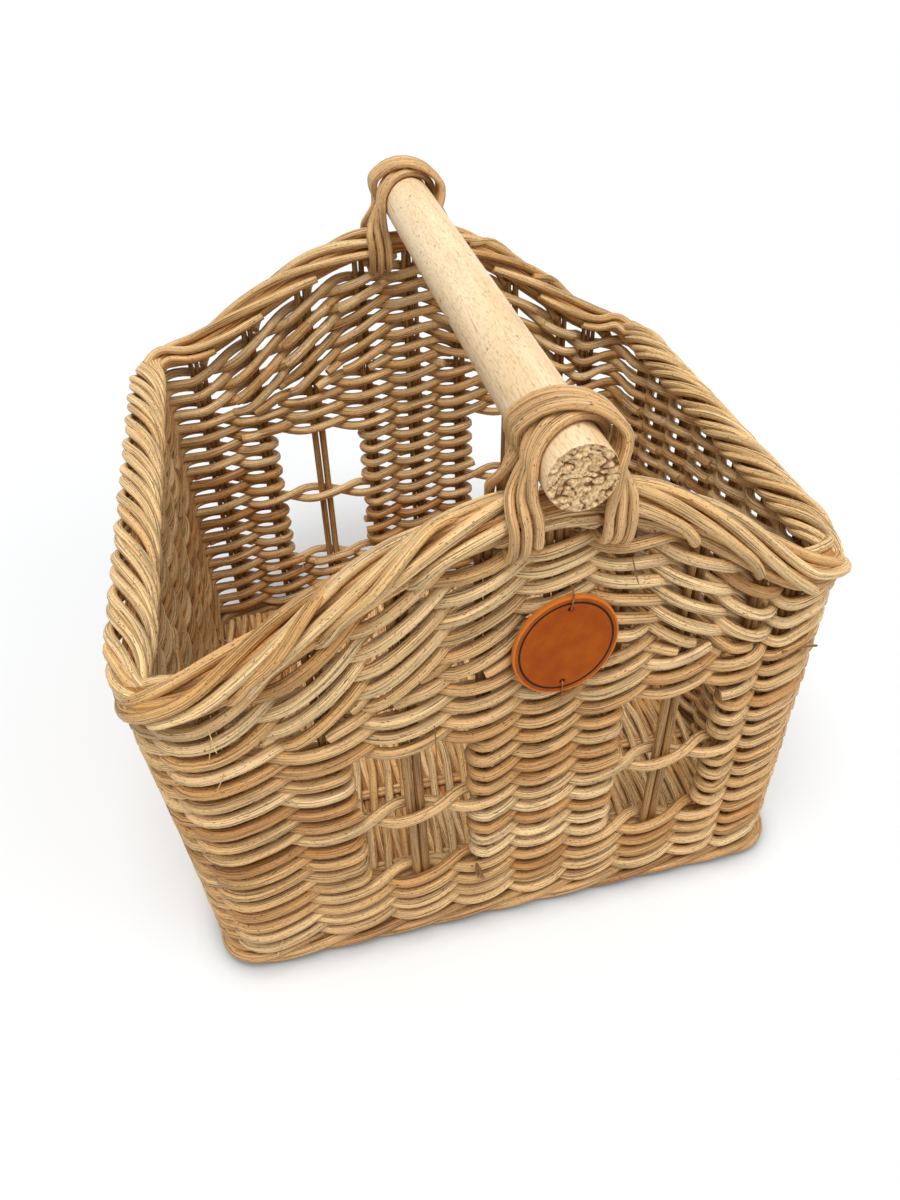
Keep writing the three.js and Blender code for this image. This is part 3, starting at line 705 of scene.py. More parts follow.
@dataclass
class Stakes(Part):
    """Uprights: each is a close group of thinner canes from the foot border to the rim.

    The canes of a stake stand spacing radii apart, and each sways a little.
    """

    window_inner: float = 0.0486
    corner_pier: float = 0.074
    setback: float = 0.010
    corner_inset: float = 0.008
    side_count: int = 7
    corner_bow: float = 0.55
    bottom: float = 0.0105
    into_rim: float = 0.006
    spacing: float = 2.06
    sway_out: float = 0.0006
    sway_aside: float = 0.0005
    steps: int = 24

    def __post_init__(self) -> None:
        """Work out the ring place of every stake, in order round the basket."""
        self.rings: list[float] = []
        self.names: list[str] = []
        self.kinds: list[StakeKind] = []
        for wall in Wall:
            if wall.value % 2 == 0:
                rings = self.gable_rings(wall)
                self.kinds += GABLE_KINDS
            else:
                straight = 1 - 2 * self.plan.corner_share
                rings = [wall.value + self.plan.corner_share + straight * (i + 0.5) / self.side_count
                         for i in range(self.side_count)]
                self.kinds += [StakeKind.PLAIN] * self.side_count
            self.rings += rings
            self.names += [f"{wall.name.lower()}_stake_{i + 1}" for i in range(len(rings))]

    def gable_rings(self, wall: Wall) -> list[float]:
        """Place the stakes of a gable wall.

        Args:
            wall: The wall.

        Returns:
            Their ring places, left to right seen from outside.
        """
        outer_edge = self.plan.rim_width / 2 - self.corner_pier
        mullion = (self.window_inner + outer_edge) / 2
        inner = self.window_inner - self.setback
        outer = outer_edge + self.setback
        distances = (-outer, -mullion, -inner, 0.0, inner, mullion, outer)
        bend = self.plan.corner_share
        start, end, _ = self.plan.span(wall.value, self.plan.side_rim_z)
        inset = (1 - 2 * bend) * self.corner_inset / (end - start).length
        first = wall.value + bend + inset
        last = wall.value + 1 - bend - inset
        return [first, *(self.plan.from_pole(wall, d) for d in distances), last]

    @property
    def count(self) -> int:
        """Number of stakes in the ring."""
        return len(self.rings)

    def ring_at(self, t: float) -> float:
        """Find the ring place of a stake number.

        Args:
            t: Stake number, which may lie between stakes or past the last one.

        Returns:
            The ring place, 4 more on each further lap.
        """
        low = math.floor(t)
        lap, index = divmod(low, self.count)
        here = self.rings[index] + 4 * lap
        lap, index = divmod(low + 1, self.count)
        there = self.rings[index] + 4 * lap
        share = t - low
        if math.floor(here) != math.floor(there):
            leaves_gable = math.floor(here) % 2 == 0
            bow = self.corner_bow * share * (1 - share)
            share += -bow if leaves_gable else bow
        return here + (there - here) * share

    def build(self) -> None:
        """Build every stake as its own piece."""
        rng = random.Random(11)
        for ring, name, kind in zip(self.rings, self.names, self.kinds):
            bundle = Bundle(f"{name}_canes")
            canes, radius = kind.value
            top = self.plan.underside(ring) + self.into_rim
            levels = [self.bottom + (top - self.bottom) * i / self.steps for i in range(self.steps + 1)]
            for number in range(canes):
                seed = fresh_seed(rng)
                offset = (number - (canes - 1) / 2) * radius * self.spacing
                points = [self.plan.at(ring, z, drift(seed, z * 9, self.sway_out),
                                       offset + drift(seed + 3, z * 7, self.sway_aside)) for z in levels]
                bundle.add(points, radius * rng.uniform(0.93, 1.0), rng.uniform(0.2, 0.9))
            finish_piece(bundle.build(self.material), "stake", name)


@dataclass
class Weave(Part):
    """Twined rows: two canes that pass outside and inside of the stakes by turns.

    Lengths along a row, such as overlap and tuck_reach, are counted in stakes. cut_ends are the
    shares of the radius left at a hidden end and at one that is cut off beside a window.
    """

    stakes: Stakes
    cane_radius: float = 0.0036
    reach: float = 0.0064
    foot_top: float = 0.0143
    sill_z: float = 0.066
    head_z: float = 0.183
    lower_rows: int = 4
    window_rows: int = 9
    level_rows: int = 2
    sloped_rows: int = 3
    short_rows: int = 6
    short_order: tuple[int, ...] = (1, 3, 5, 4, 2, 0)
    looks: int = 20
    steps: int = 12
    crest: float = 1.4
    slant: float = 0.27
    wander_out: float = 0.0005
    wander_up: float = 0.0006
    lengths: int = 3
    overlap: float = 0.4
    tuck_reach: float = 0.35
    tuck_depth: float = 0.0032
    turn_reach: float = 0.0077
    turn_steps: int = 8
    cut_share: float = 0.16
    cut_reach: float = 0.26
    cut_ends: tuple[float, float] = (0.88, 0.97)
    bar_share: float = 0.94
    pressed: tuple[float, ...] = (0.0042, 0.0022, 0.0008)
    press_span: tuple[float, float] = (0.030, 0.062)

    def __post_init__(self) -> None:
        """Start the counts that tell rows apart."""
        self.rng = random.Random(5)
        self.row_number = 0
        side_top = self.plan.side_rim_z - self.plan.rim_height / 2
        self.upper_pitch = (side_top - self.head_z) / (self.level_rows + self.sloped_rows)
        self.window_pitch = (self.head_z - self.sill_z) / self.window_rows
        self.lower_pitch = (self.sill_z - self.foot_top) / self.lower_rows

    def weaver(self, level: Level, start: float, end: float, phase: int, pitch: float,
               tucked: tuple[bool, bool] = (True, True)) -> list[Vector]:
        """Follow one cane of a pair past the stakes.

        Args:
            level: Height of the row at a ring place.
            start: Stake number where the cane starts.
            end: Stake number where it ends.
            phase: 0 to pass outside of even stakes, 1 to pass outside of odd ones.
            pitch: Distance to the next row, which sets how far the cane rises and falls.
            tucked: Whether the first and the last end are tucked inside the wall.

        Returns:
            Points along the cane.
        """
        seed = self.row_number * 1.7
        lift = pitch * self.slant
        count = max(2, round((end - start) * self.steps))
        points = []
        for i in range(count + 1):
            t = start + (end - start) * i / count
            turn = math.pi * (t + phase)
            swing = math.cos(turn)
            out = self.reach * swing * math.sqrt((1 + self.crest) / (swing * swing + self.crest))
            out += drift(seed, t * 0.9, self.wander_out)
            for near, tuck in ((t - start, tucked[0]), (end - t, tucked[1])):
                if tuck and near < self.tuck_reach:
                    out -= self.tuck_depth * (1 - near / self.tuck_reach)
            ring = self.stakes.ring_at(t)
            z = level(ring) + lift * math.sin(turn) + drift(seed + 0.5, t * 0.7, self.wander_up)
            points.append(self.plan.at(ring, z, out))
        return points

    def ring_row(self, bundle: Bundle, level: Level, pitch: float) -> None:
        """Lay one row all the way round, from a few lengths of cane for each of the two.

        Args:
            bundle: Piece that the row belongs to.
            level: Height of the row at a ring place.
            pitch: Distance to the next row.
        """
        self.row_number += 1
        stakes = self.stakes.count
        for phase in (0, 1):
            first = self.rng.randrange(0, stakes, 2) + 1 - phase
            joints = [first + 2 * round(stakes * i / self.lengths / 2) for i in range(self.lengths)]
            joints.append(first + stakes)
            for a, b in zip(joints, joints[1:]):
                points = self.weaver(level, a - self.overlap, b + self.overlap, phase, pitch)
                bundle.add(points, self.cane_radius * self.rng.uniform(0.93, 1.05), stock_tone(self.rng))

    def hairpin(self, z: float, t: int, side: int) -> list[Vector]:
        """Turn a cane round the flank of the stake at a window's edge, from outside to inside.

        Args:
            z: Height of the row.
            t: Number of the stake.
            side: 1 to turn at its right seen from outside, -1 at its left.

        Returns:
            Points between the outer and the inner pass.
        """
        ring = self.stakes.ring_at(t)
        reach = self.turn_reach * self.rng.uniform(0.93, 1.1)
        turns = [math.pi * i / self.turn_steps for i in range(1, self.turn_steps)]
        return [self.plan.at(ring, z, self.reach * math.cos(turn), side * reach * math.sin(turn))
                for turn in turns]

    def pier_row(self, bundle: Bundle, z: float, first: int, last: int) -> None:
        """Lay one row of a section of wall that ends at a window on both sides.

        Args:
            bundle: Piece that the row belongs to.
            z: Height of the row.
            first: Stake at its left edge seen from outside.
            last: Stake at its right edge.
        """
        self.row_number += 1
        follow = partial(self.weaver, flat(z), pitch=self.window_pitch)
        cut_side = self.rng.choice((-1, 1)) if self.rng.random() < self.cut_share else 0
        left = first - (self.cut_reach if cut_side < 0 else 0.0)
        right = last + (self.cut_reach if cut_side > 0 else 0.0)
        middle = first + 2 * self.rng.randint(0, (last - first) // 2 - 1) + 1
        outside = first % 2
        radius = self.cane_radius * self.rng.uniform(0.92, 1.04)
        front = follow(left, right, outside, tucked=(False, False))
        to_left = follow(left, middle + self.overlap, 1 - outside, tucked=(False, True))[::-1]
        to_right = follow(middle - self.overlap, right, 1 - outside, tucked=(True, False))[::-1]
        left_turn = self.hairpin(z, first, -1)[::-1]
        right_turn = self.hairpin(z, last, 1)
        tones = stock_tone(self.rng), stock_tone(self.rng)
        if cut_side > 0:
            bundle.add([*to_left, *left_turn, *front], radius, tones[0], ends=self.cut_ends)
            bundle.add(to_right, radius, tones[1], ends=self.cut_ends[::-1])
        elif cut_side < 0:
            bundle.add([*front, *right_turn, *to_right], radius, tones[0], ends=self.cut_ends[::-1])
            bundle.add(to_left, radius, tones[1], ends=self.cut_ends)
        else:
            bundle.add([*to_left, *left_turn, *front, *right_turn, *to_right], radius, tones[0])

    def crossing_row(self, bundles: dict[tuple[float, float], Bundle], z: float) -> None:
        """Lay the row that crosses the windows as their bars.

        Args:
            bundles: The piece for each stretch of the row, from one stake number to another.
            z: Height of the row.
        """
        self.row_number += 1
        tones = [self.rng.uniform(0.5, 0.9), self.rng.uniform(0.45, 0.85)]
        for (start, end), bundle in bundles.items():
            for phase in (0, 1):
                points = self.weaver(flat(z), start, end, phase, self.window_pitch, (False, False))
                bundle.add(points, self.cane_radius * self.bar_share, tones[phase], ends=(1.0, 1.0))

    def dip(self, ring: float) -> float:
        """Tell how far the top rows are pressed down by a lashing.

        Args:
            ring: Ring place.

        Returns:
            Share from 0, away from it, to 1, beside it.
        """
        wall = math.floor(ring % 4)
        if wall % 2:
            return 0.0
        distance = abs((ring % 4) - self.plan.from_pole(Wall(wall), 0.0)) * self.plan.rim_width
        return 1 - smoothstep(*self.press_span, distance)

    def sloped_level(self, order: int, ring: float) -> float:
        """Height at a ring place of a row that follows the rim, counted from the top."""
        below = (order + 0.5) * self.upper_pitch * self.plan.stretch(ring)
        return self.plan.underside(ring) - below - self.pressed[order] * self.dip(ring)

    def short_space(self, ring: float) -> tuple[float, float]:
        """Bottom and height of the space between the level and the sloped rows."""
        bottom = self.head_z + self.level_rows * self.upper_pitch
        top = self.plan.underside(ring) - self.sloped_rows * self.upper_pitch * self.plan.stretch(ring)
        return bottom, max(top - bottom, 0.0)

    def short_weights(self, ring: float) -> list[float]:
        """Tell how much of a full row each short row takes.

        Args:
            ring: Ring place.

        Returns:
            A share for each short row, from the bottom.
        """
        wall = Wall(math.floor(ring % 4))
        full = self.short_space(self.plan.from_pole(wall, 0.0))[1]
        room = self.short_rows * self.short_space(ring)[1] / full
        return [min(max(room - order, 0.0), 1.0) for order in self.short_order]

    def short_level(self, index: int, ring: float) -> float:
        """Follow a short row.

        Args:
            index: Number of the row from the bottom.
            ring: Ring place.

        Returns:
            Its height.
        """
        bottom, height = self.short_space(ring)
        weights = self.short_weights(ring)
        below = sum(weights[:index]) + weights[index] / 2
        return bottom + height * below / max(sum(weights), 0.3)

    def short_row(self, bundle: Bundle, wall: Wall, index: int) -> None:
        """Lay one of the rows that stop short of the corners and fill the gable.

        Args:
            bundle: Piece that the row belongs to.
            wall: Gable wall.
            index: Number of the row from the bottom.
        """
        self.row_number += 1
        first = self.stakes.names.index(f"{wall.name.lower()}_stake_1")
        places = [first + i / self.looks for i in range(self.looks * (len(GABLE_KINDS) - 1) + 1)]
        kept = [t for t in places if self.short_weights(self.stakes.ring_at(t))[index] > 0.5]
        for phase in (0, 1):
            start = kept[0] + self.rng.uniform(-0.25, 0.2)
            end = kept[-1] + self.rng.uniform(-0.2, 0.25)
            points = self.weaver(partial(self.short_level, index), start, end, phase, self.upper_pitch,
                                 (phase == 0, phase == 1))
            bundle.add(points, self.cane_radius * self.rng.uniform(0.92, 1.03), stock_tone(self.rng))

    def level_band(self, bundle: Bundle, bottom: float, pitch: float, rows: int) -> None:
        """Lay level rows all the way round, from a height upwards."""
        for row in range(rows):
            self.ring_row(bundle, flat(bottom + (row + 0.5) * pitch), pitch)

    def lower(self) -> Bundle:
        """Rows from the foot border up to the windows."""
        bundle = Bundle("lower_weave_canes")
        self.level_band(bundle, self.foot_top, self.lower_pitch, self.lower_rows)
        return bundle

    def upper(self) -> Bundle:
        """Lay the rows from the windows up to the rim.

        Returns:
            Their canes.
        """
        bundle = Bundle("upper_weave_canes")
        self.level_band(bundle, self.head_z, self.upper_pitch, self.level_rows)
        for row in range(self.sloped_rows):
            self.ring_row(bundle, partial(self.sloped_level, row), self.upper_pitch)
        for wall in (Wall.FRONT, Wall.BACK):
            for index in range(self.short_rows):
                self.short_row(bundle, wall, index)
        return bundle

    def build(self) -> None:
        """Build the bands below and above the windows, the sections between them and the bars."""
        finish_piece(self.lower().build(self.material), "weave", "lower_weave")
        finish_piece(self.upper().build(self.material), "weave", "upper_weave")
        sections = {"front_pier_weave": (3, 5), "right_weave": (7, 17), "back_pier_weave": (19, 21),
                    "left_weave": (23, 33)}
        bars = {"front_left_window_bar": (0.5, 3.5), "front_right_window_bar": (4.5, 7.5),
                "back_left_window_bar": (16.5, 19.5), "back_right_window_bar": (20.5, 23.5)}
        pieces = {name: Bundle(f"{name}_canes") for name in (*sections, *bars)}
        middle = self.window_rows // 2
        for row in range(self.window_rows):
            z = self.sill_z + (row + 0.5) * self.window_pitch
            if row == middle:
                stretches = {ends: pieces[name] for name, ends in bars.items()}
                stretches |= {(first + 0.5, last - 0.5): pieces[name]
                              for name, (first, last) in sections.items()}
                self.crossing_row(stretches, z)
                continue
            for name, (first, last) in sections.items():
                self.pier_row(pieces[name], z, first, last)
        for name, bundle in pieces.items():
            finish_piece(bundle.build(self.material), "weave", name)


@dataclass
class GableRim(Part):
    """Rolled border of a gable: a layer of canes along it, and others that wind over them.

    The outer ones fall from the peak to the corners, mirrored at the peak, and one that ends before
    the corner bends into the wall. Angles round the roll are 0 outside and a quarter turn on top.
    elbow_route says how far along, below and outside the roll's middle each point of that bend is.
    """

    wall: Wall
    width: float = 0.027
    cane_radius: float = 0.0032
    inner_canes: int = 5
    inner_lay: float = 0.70
    inner_depth: float = 0.0046
    outer_lay: float = 0.275
    outer_sink: float = 0.0004
    outer_turn: tuple[float, float] = (math.radians(205), math.radians(-24))
    outer_spacing: float = 0.044
    hump: tuple[float, float, float] = (math.radians(85), math.radians(55), 0.0032)
    low_angle: float = math.radians(-60)
    riders: tuple[tuple[int, float, float], ...] = ((-1, 0.046, 0.112), (-1, 0.098, 0.158))
    rider_turn: tuple[float, float] = (math.radians(128), math.radians(-20))
    rider_lift: float = 0.0058
    rider_sink: float = 0.001
    beside_lashing: float = 0.023
    wrap: float = 0.10
    tuck: float = 0.042
    wander_turn: float = 0.09
    wander_in: float = 0.0009
    tuck_in: float = 0.0035
    tuck_down: float = 0.010
    elbow_route: tuple[Point, ...] = ((0.004, 0.0054, 0.0100), (0.008, 0.0078, 0.0084),
                                      (0.0108, 0.0098, 0.0048), (0.0118, 0.0110, -0.0010))
    early_canes: int = 5
    no_start: float = 0.045
    core_radius: float = 0.0048
    core_inset: float = 0.03
    step: float = 0.005

    def point(self, distance: float, angle: float, shrink: float = 0.0) -> Vector:
        """Give a point on the roll.

        Args:
            distance: Distance right of the pole, seen from outside.
            angle: Place round the roll.
            shrink: How far inside the usual surface the cane lies.

        Returns:
            The point on the centre line of a cane.
        """
        ring = self.plan.from_pole(self.wall, distance)
        half_width = self.width / 2 - self.cane_radius - shrink
        half_height = self.plan.rim_height / 2 - self.cane_radius - shrink * 0.8
        z = self.plan.rim_z(ring) + half_height * self.plan.stretch(ring) * math.sin(angle)
        return self.plan.at(ring, z, half_width * math.cos(angle))

    def elbow(self, distance: float, side: int) -> list[Vector]:
        """Bend a cane of the roll inwards under it.

        Args:
            distance: Where the bend starts, right of the pole.
            side: 1 for the right half seen from outside, -1 for the left.

        Returns:
            Points of the bend.
        """
        bend = []
        for along, below, out in self.elbow_route:
            ring = self.plan.from_pole(self.wall, distance + side * along)
            bend.append(self.plan.at(ring, self.plan.rim_z(ring) - below * self.plan.stretch(ring), out))
        return bend

    def lift(self, angle: float) -> float:
        """How far an outer cane stands off the roll at an angle: most where it comes over the top."""
        middle, spread, height = self.hump
        return height * math.exp(-((angle - middle) / spread) ** 2) - self.outer_sink

    def strand(self, start: float, turns: tuple[float, float], side: int, limit: float, seed: float,
               lay: float, depth: float | None = None) -> list[Vector]:
        """Follow a cane of the roll away from the pole.

        Args:
            start: Distance from the pole where it starts.
            turns: Its angle there and the angle at which it turns into the wall.
            side: 1 for the right half seen from outside, -1 for the left.
            limit: Distance from the pole where the roll ends.
            seed: Number of the cane's own wander.
            lay: Distance along the rim for a whole turn.
            depth: How deep a cane of the inner layer lies, or None for an outer one.

        Returns:
            Points from the start to where it turns in or the roll ends.
        """
        rate = TURN / lay
        end = start + (turns[0] - turns[1]) / rate
        stop = min(end, limit)
        count = max(2, round((stop - start) / self.step))
        points = []
        for i in range(count + 1):
            distance = start + (stop - start) * i / count
            angle = turns[0] - (distance - start) * rate + drift(seed, distance * 16, self.wander_turn)
            shrink = drift(seed + 9, distance * 22, self.wander_in)
            shrink += -self.lift(angle) if depth is None else depth
            tucked = smoothstep(limit - self.tuck, limit, distance)
            spot = self.point(side * distance, angle, shrink + self.tuck_in * tucked)
            spot.z -= self.tuck_down * tucked
            points.append(spot)
        if stop == end:
            points += self.elbow(side * end, side)
        return eased(points)

    def limit(self, side: int) -> float:
        """Find where the roll ends, a little past the corner.

        Args:
            side: 1 for the right half seen from outside, -1 for the left.

        Returns:
            Distance from the pole.
        """
        edge = self.wall.value + (1 + self.wrap if side > 0 else -self.wrap)
        low, high = 0.1, 0.3
        for _ in range(30):
            middle = (low + high) / 2
            past = (self.plan.from_pole(self.wall, side * middle) - edge) * side > 0
            low, high = (low, middle) if past else (middle, high)
        return low

    def inner_layer(self, bundle: Bundle, limits: dict[int, float], rng: random.Random) -> None:
        """Lay the canes that run over the peak, from one corner to the other.

        Args:
            bundle: Piece that they belong to.
            limits: Distance from the pole to each end of the roll.
            rng: Source of their wander and tones.
        """
        for k in range(self.inner_canes):
            turns = (TURN * k / self.inner_canes, -TURN)
            seed = fresh_seed(rng)
            left, right = (self.strand(0.0, turns, side, limits[side] - rng.uniform(0.0, 0.015), seed,
                                       self.inner_lay, self.inner_depth) for side in (-1, 1))
            bundle.add([*reversed(left), *right[1:]], self.cane_radius * rng.uniform(0.93, 1.05),
                       rng.uniform(0.1, 0.6))

    def outer_layer(self, bundle: Bundle, side: int, limit: float, rng: random.Random) -> None:
        """Lay the canes that wind over the others on one side of the peak.

        Args:
            bundle: Piece that they belong to.
            side: 1 for the right half seen from outside, -1 for the left.
            limit: Distance from the pole to the end of the roll.
            rng: Source of their wander and tones.
        """
        turn_between = TURN * self.outer_spacing / self.outer_lay
        first, last = self.outer_turn
        start = self.beside_lashing
        beginnings = [(start, first - turn_between * k) for k in range(self.early_canes, 0, -1)]
        while start < limit - self.no_start:
            beginnings.append((start, first))
            start += self.outer_spacing * rng.uniform(0.85, 1.15)
        for start, angle in beginnings:
            points = self.strand(start, (angle, last), side, limit - rng.uniform(0.0, 0.028),
                                 fresh_seed(rng), self.outer_lay * rng.uniform(0.98, 1.03))
            bundle.add(points, self.cane_radius * rng.uniform(0.93, 1.04), rim_tone(rng))

    def rider(self, side: int, first: float, last: float) -> list[Vector]:
        """Follow a cane that crosses over the outer ones.

        Args:
            side: 1 for the right half seen from outside, -1 for the left.
            first: Distance from the pole where it comes out of the roll, on top.
            last: Distance where it bends in, outside.

        Returns:
            Points along the cane.
        """
        high, low = self.rider_turn
        points = []
        for share in np.linspace(0.0, 1.0, round((last - first) / self.step)):
            rise = smoothstep(0.0, 0.3, share) * (1 - smoothstep(0.7, 1.0, share))
            points.append(self.point(side * (first + (last - first) * share), high + (low - high) * share,
                                     self.rider_sink - self.rider_lift * rise))
        return eased([*points, *self.elbow(side * last, side)])

    def build(self) -> None:
        """Build the rim of this gable."""
        name = f"{self.wall.name.lower()}_rim"
        bundle = Bundle(f"{name}_canes", bevel=3)
        rng = random.Random(40 + self.wall.value)
        limits = {side: self.limit(side) for side in (-1, 1)}
        self.inner_layer(bundle, limits, rng)
        for side, limit in limits.items():
            self.outer_layer(bundle, side, limit, rng)
        for place in self.riders:
            bundle.add(self.rider(*place), self.cane_radius * 0.97, rng.uniform(0.5, 0.9))
        centre = self.width / 2 - self.cane_radius
        places = np.linspace(self.core_inset - limits[-1], limits[1] - self.core_inset, 50)
        bundle.add([self.point(d, 0.0, centre) for d in places], self.core_radius, CORE_TONE)
        bundle.add([self.point(d, self.low_angle + drift(7, d * 9, 0.1)) for d in places],
                   self.cane_radius * 0.95, 0.55)
        finish_piece(bundle.build(self.material), "border", name)


@dataclass
class SideRim(Part):
    """Border of a side wall: a rope of strands, each of two canes side by side."""

    wall: Wall
    width: float = 0.026
    cane_radius: float = 0.0028
    strands: int = 4
    twin_turn: float = math.radians(18)
    twin_lift: float = 0.03
    period: float = 0.124
    wander_turn: float = 0.07
    wander_reach: float = 0.04
    tuck: float = 0.040
    tuck_share: float = 0.5
    tuck_down: float = 0.002
    core_radius: float = 0.0048
    core_ends: tuple[float, float] = (0.06, 0.94)
    step: float = 0.005

    @property
    def length(self) -> float:
        """Length of the wall with half of each corner's bend."""
        start, end, _ = self.plan.span(self.wall.value, self.plan.side_rim_z)
        return (end - start).length / (1 - 2 * self.plan.corner_share)

    def strand(self, phase: float, lift: float, seed: float) -> list[Vector]:
        """Follow a cane of the rope along the wall.

        Args:
            phase: Its place round the rope at the start.
            lift: Share by which it lies further out than the others.
            seed: Number of the cane's own wander.

        Returns:
            Points along the cane.
        """
        count = round(self.length / self.step)
        swing = self.width / 2 - self.cane_radius
        rise = self.plan.rim_height / 2 - self.cane_radius
        points = []
        for i in range(count + 1):
            share = i / count
            turn = TURN * share * self.length / self.period + phase
            turn += drift(seed, share * 9, self.wander_turn)
            tucked = 1 - smoothstep(0.0, self.tuck, min(share, 1 - share) * self.length)
            reach = 1 + lift - self.tuck_share * tucked + drift(seed + 5, share * 11, self.wander_reach)
            z = self.plan.side_rim_z + rise * reach * math.cos(turn) - self.tuck_down * tucked
            ring = self.wall.value + share
            points.append(self.plan.at(ring, z, -swing * reach * math.sin(turn)))
        return points

    def build(self) -> None:
        """Build the rim of this side."""
        name = f"{self.wall.name.lower()}_rim"
        bundle = Bundle(f"{name}_canes", bevel=3)
        rng = random.Random(60 + self.wall.value)
        for strand in range(self.strands):
            for side in (-1, 1):
                phase = TURN * strand / self.strands + side * self.twin_turn
                points = self.strand(phase, side * self.twin_lift, fresh_seed(rng))
                bundle.add(points, self.cane_radius * rng.uniform(0.95, 1.04), rng.uniform(0.7, 1.1))
        core = [self.plan.at(self.wall.value + share, self.plan.side_rim_z - self.tuck_down)
                for share in np.linspace(*self.core_ends, 50)]
        bundle.add(core, self.core_radius, CORE_TONE)
        finish_piece(bundle.build(self.material), "border", name)


@dataclass
class FootBorder(Part):
    """Border round the base: canes laid like a rope."""

    width: float = 0.021
    height: float = 0.014
    cane_radius: float = 0.0033
    strands: int = 5
    turns: int = 8
    wander_turn: float = 0.2
    start_step: float = 0.5
    steps: int = 300
    core_radius: float = 0.0042
    core_steps: int = 120

    def build(self) -> None:
        """Build the border."""
        bundle = Bundle("foot_border_canes", bevel=3)
        rng = random.Random(70)
        half_width = self.width / 2 - self.cane_radius
        half_height = self.height / 2 - self.cane_radius
        for k in range(self.strands):
            seed = fresh_seed(rng)
            start = (rng.random() * 4 // self.start_step) * self.start_step
            points = []
            for i in range(self.steps + 1):
                ring = start + 4 * i / self.steps
                angle = TURN * (self.turns * ring / 4 + k / self.strands)
                angle += drift(seed, (ring % 4) * 6, self.wander_turn) * math.sin(math.pi * i / self.steps)
                z = self.height / 2 + half_height * math.sin(angle)
                points.append(self.plan.at(ring, z, half_width * math.cos(angle)))
            bundle.add(points, self.cane_radius * rng.uniform(0.96, 1.03), stock_tone(rng), wobble=0.02)
        core = [self.plan.at(4 * i / self.core_steps, self.height / 2) for i in range(self.core_steps + 1)]
        bundle.add(core, self.core_radius, CORE_TONE)
        finish_piece(bundle.build(self.material), "foot", "foot_border")


@dataclass
class Base(Part):
    """Bottom of the basket: rows from front to back, twined round sticks from side to side.

    A stick is two canes side by side. The rows end closer to the middle near the corners, and
    plain canes lie under them, their dark tone painted shade in the gaps between the rows.
    """

    border_width: float = 0.0165
    level: float = 0.0092
    sticks: int = 5
    stick_radius: float = 0.0020
    stick_spacing: float = 1.05
    stick_steps: int = 30
    stick_wander: float = 0.0004
    cane_radius: float = 0.0030
    rows: int = 31
    slant: float = 0.26
    press: float = 0.0002
    steps_between: int = 10
    row_wander: float = 0.0006
    end_inset: float = 0.001
    corner_width: float = 0.016
    corner_fall: float = 0.6
    filler_radius: float = 0.0026
    filler_steps: int = 16
    filler_wander: float = 0.0005

    def __post_init__(self) -> None:
        """Work out the size and place of the mat."""
        self.rng = random.Random(80)
        self.width = self.plan.foot_width - self.border_width
        self.depth = self.plan.foot_depth - self.border_width
        self.middle = Vector((self.plan.origin[0] + self.plan.foot_shift, self.plan.origin[1]))
        self.pitch = self.width / self.rows

    def stick(self, index: int) -> Bundle:
        """Lay the two canes of a stick.

        Args:
            index: Number of the stick, from 0 at the front.

        Returns:
            The two canes.
        """
        bundle = Bundle(f"base_stick_{index + 1}_cane")
        y = self.depth * ((index + 0.5) / self.sticks - 0.5)
        for side in (-1, 1):
            seed = fresh_seed(self.rng)
            beside = self.middle.y + y + side * self.stick_radius * self.stick_spacing
            points = [Vector((self.middle.x + self.width * (s / self.stick_steps - 0.5),
                              beside + drift(seed, s * 0.3, self.stick_wander), self.level))
                      for s in range(self.stick_steps + 1)]
            bundle.add(points, self.stick_radius, self.rng.uniform(0.3, 0.8))
        return bundle

    def row(self, mat: Bundle, number: int) -> None:
        """Lay the two canes of a row.

        Args:
            mat: Piece that the row belongs to.
            number: Number of the row, from 0 at the left.
        """
        x = (number - (self.rows - 1) / 2) * self.pitch
        corner = max(0.0, abs(x) - (self.width / 2 - self.corner_width))
        reach = self.depth / 2 - self.end_inset - corner * self.corner_fall
        swing = self.stick_radius + self.cane_radius - self.press
        steps = self.sticks * self.steps_between
        seed = fresh_seed(self.rng)
        for phase in (0, 1):
            points = []
            for i in range(steps + 1):
                y = reach * (2 * i / steps - 1)
                turn = math.pi * ((y / self.depth + 0.5) * self.sticks - 0.5 + phase)
                aside = self.pitch * self.slant * math.sin(turn) + drift(seed, y * 12, self.row_wander)
                z = self.level + swing * math.cos(turn)
                points.append(Vector((self.middle.x + x + aside, self.middle.y + y, z)))
            mat.add(points, self.cane_radius * self.rng.uniform(0.93, 1.05), stock_tone(self.rng))

    def shade_filler(self, mat: Bundle, halves: int) -> None:
        """Lay a plain cane under the rows, its dark tone painted shade in the gaps between them.

        Args:
            mat: Piece that it belongs to.
            halves: Its place, in half rows from the left edge.
        """
        x = self.middle.x + (halves / 2 - self.rows / 2) * self.pitch
        below = self.level - self.stick_radius - self.filler_radius
        seed = fresh_seed(self.rng)
        points = [Vector((x + drift(seed, i * 0.5, self.filler_wander),
                          self.middle.y + self.depth * (i / self.filler_steps - 0.5), below))
                  for i in range(self.filler_steps + 1)]
        # Dark tone: painted shade seen through the gaps between the rows.
        mat.add(points, self.filler_radius, self.rng.uniform(0.0, 0.2))

    def build(self) -> None:
        """Build the mat and its sticks."""
        for index in range(self.sticks):
            finish_piece(self.stick(index).build(self.material), "base", f"base_stick_{index + 1}")
        mat = Bundle("base_mat_canes")
        for number in range(self.rows):
            self.row(mat, number)
        for halves in range(1, 2 * self.rows):
            self.shade_filler(mat, halves)
        finish_piece(mat.build(self.material), "base", "base_mat")


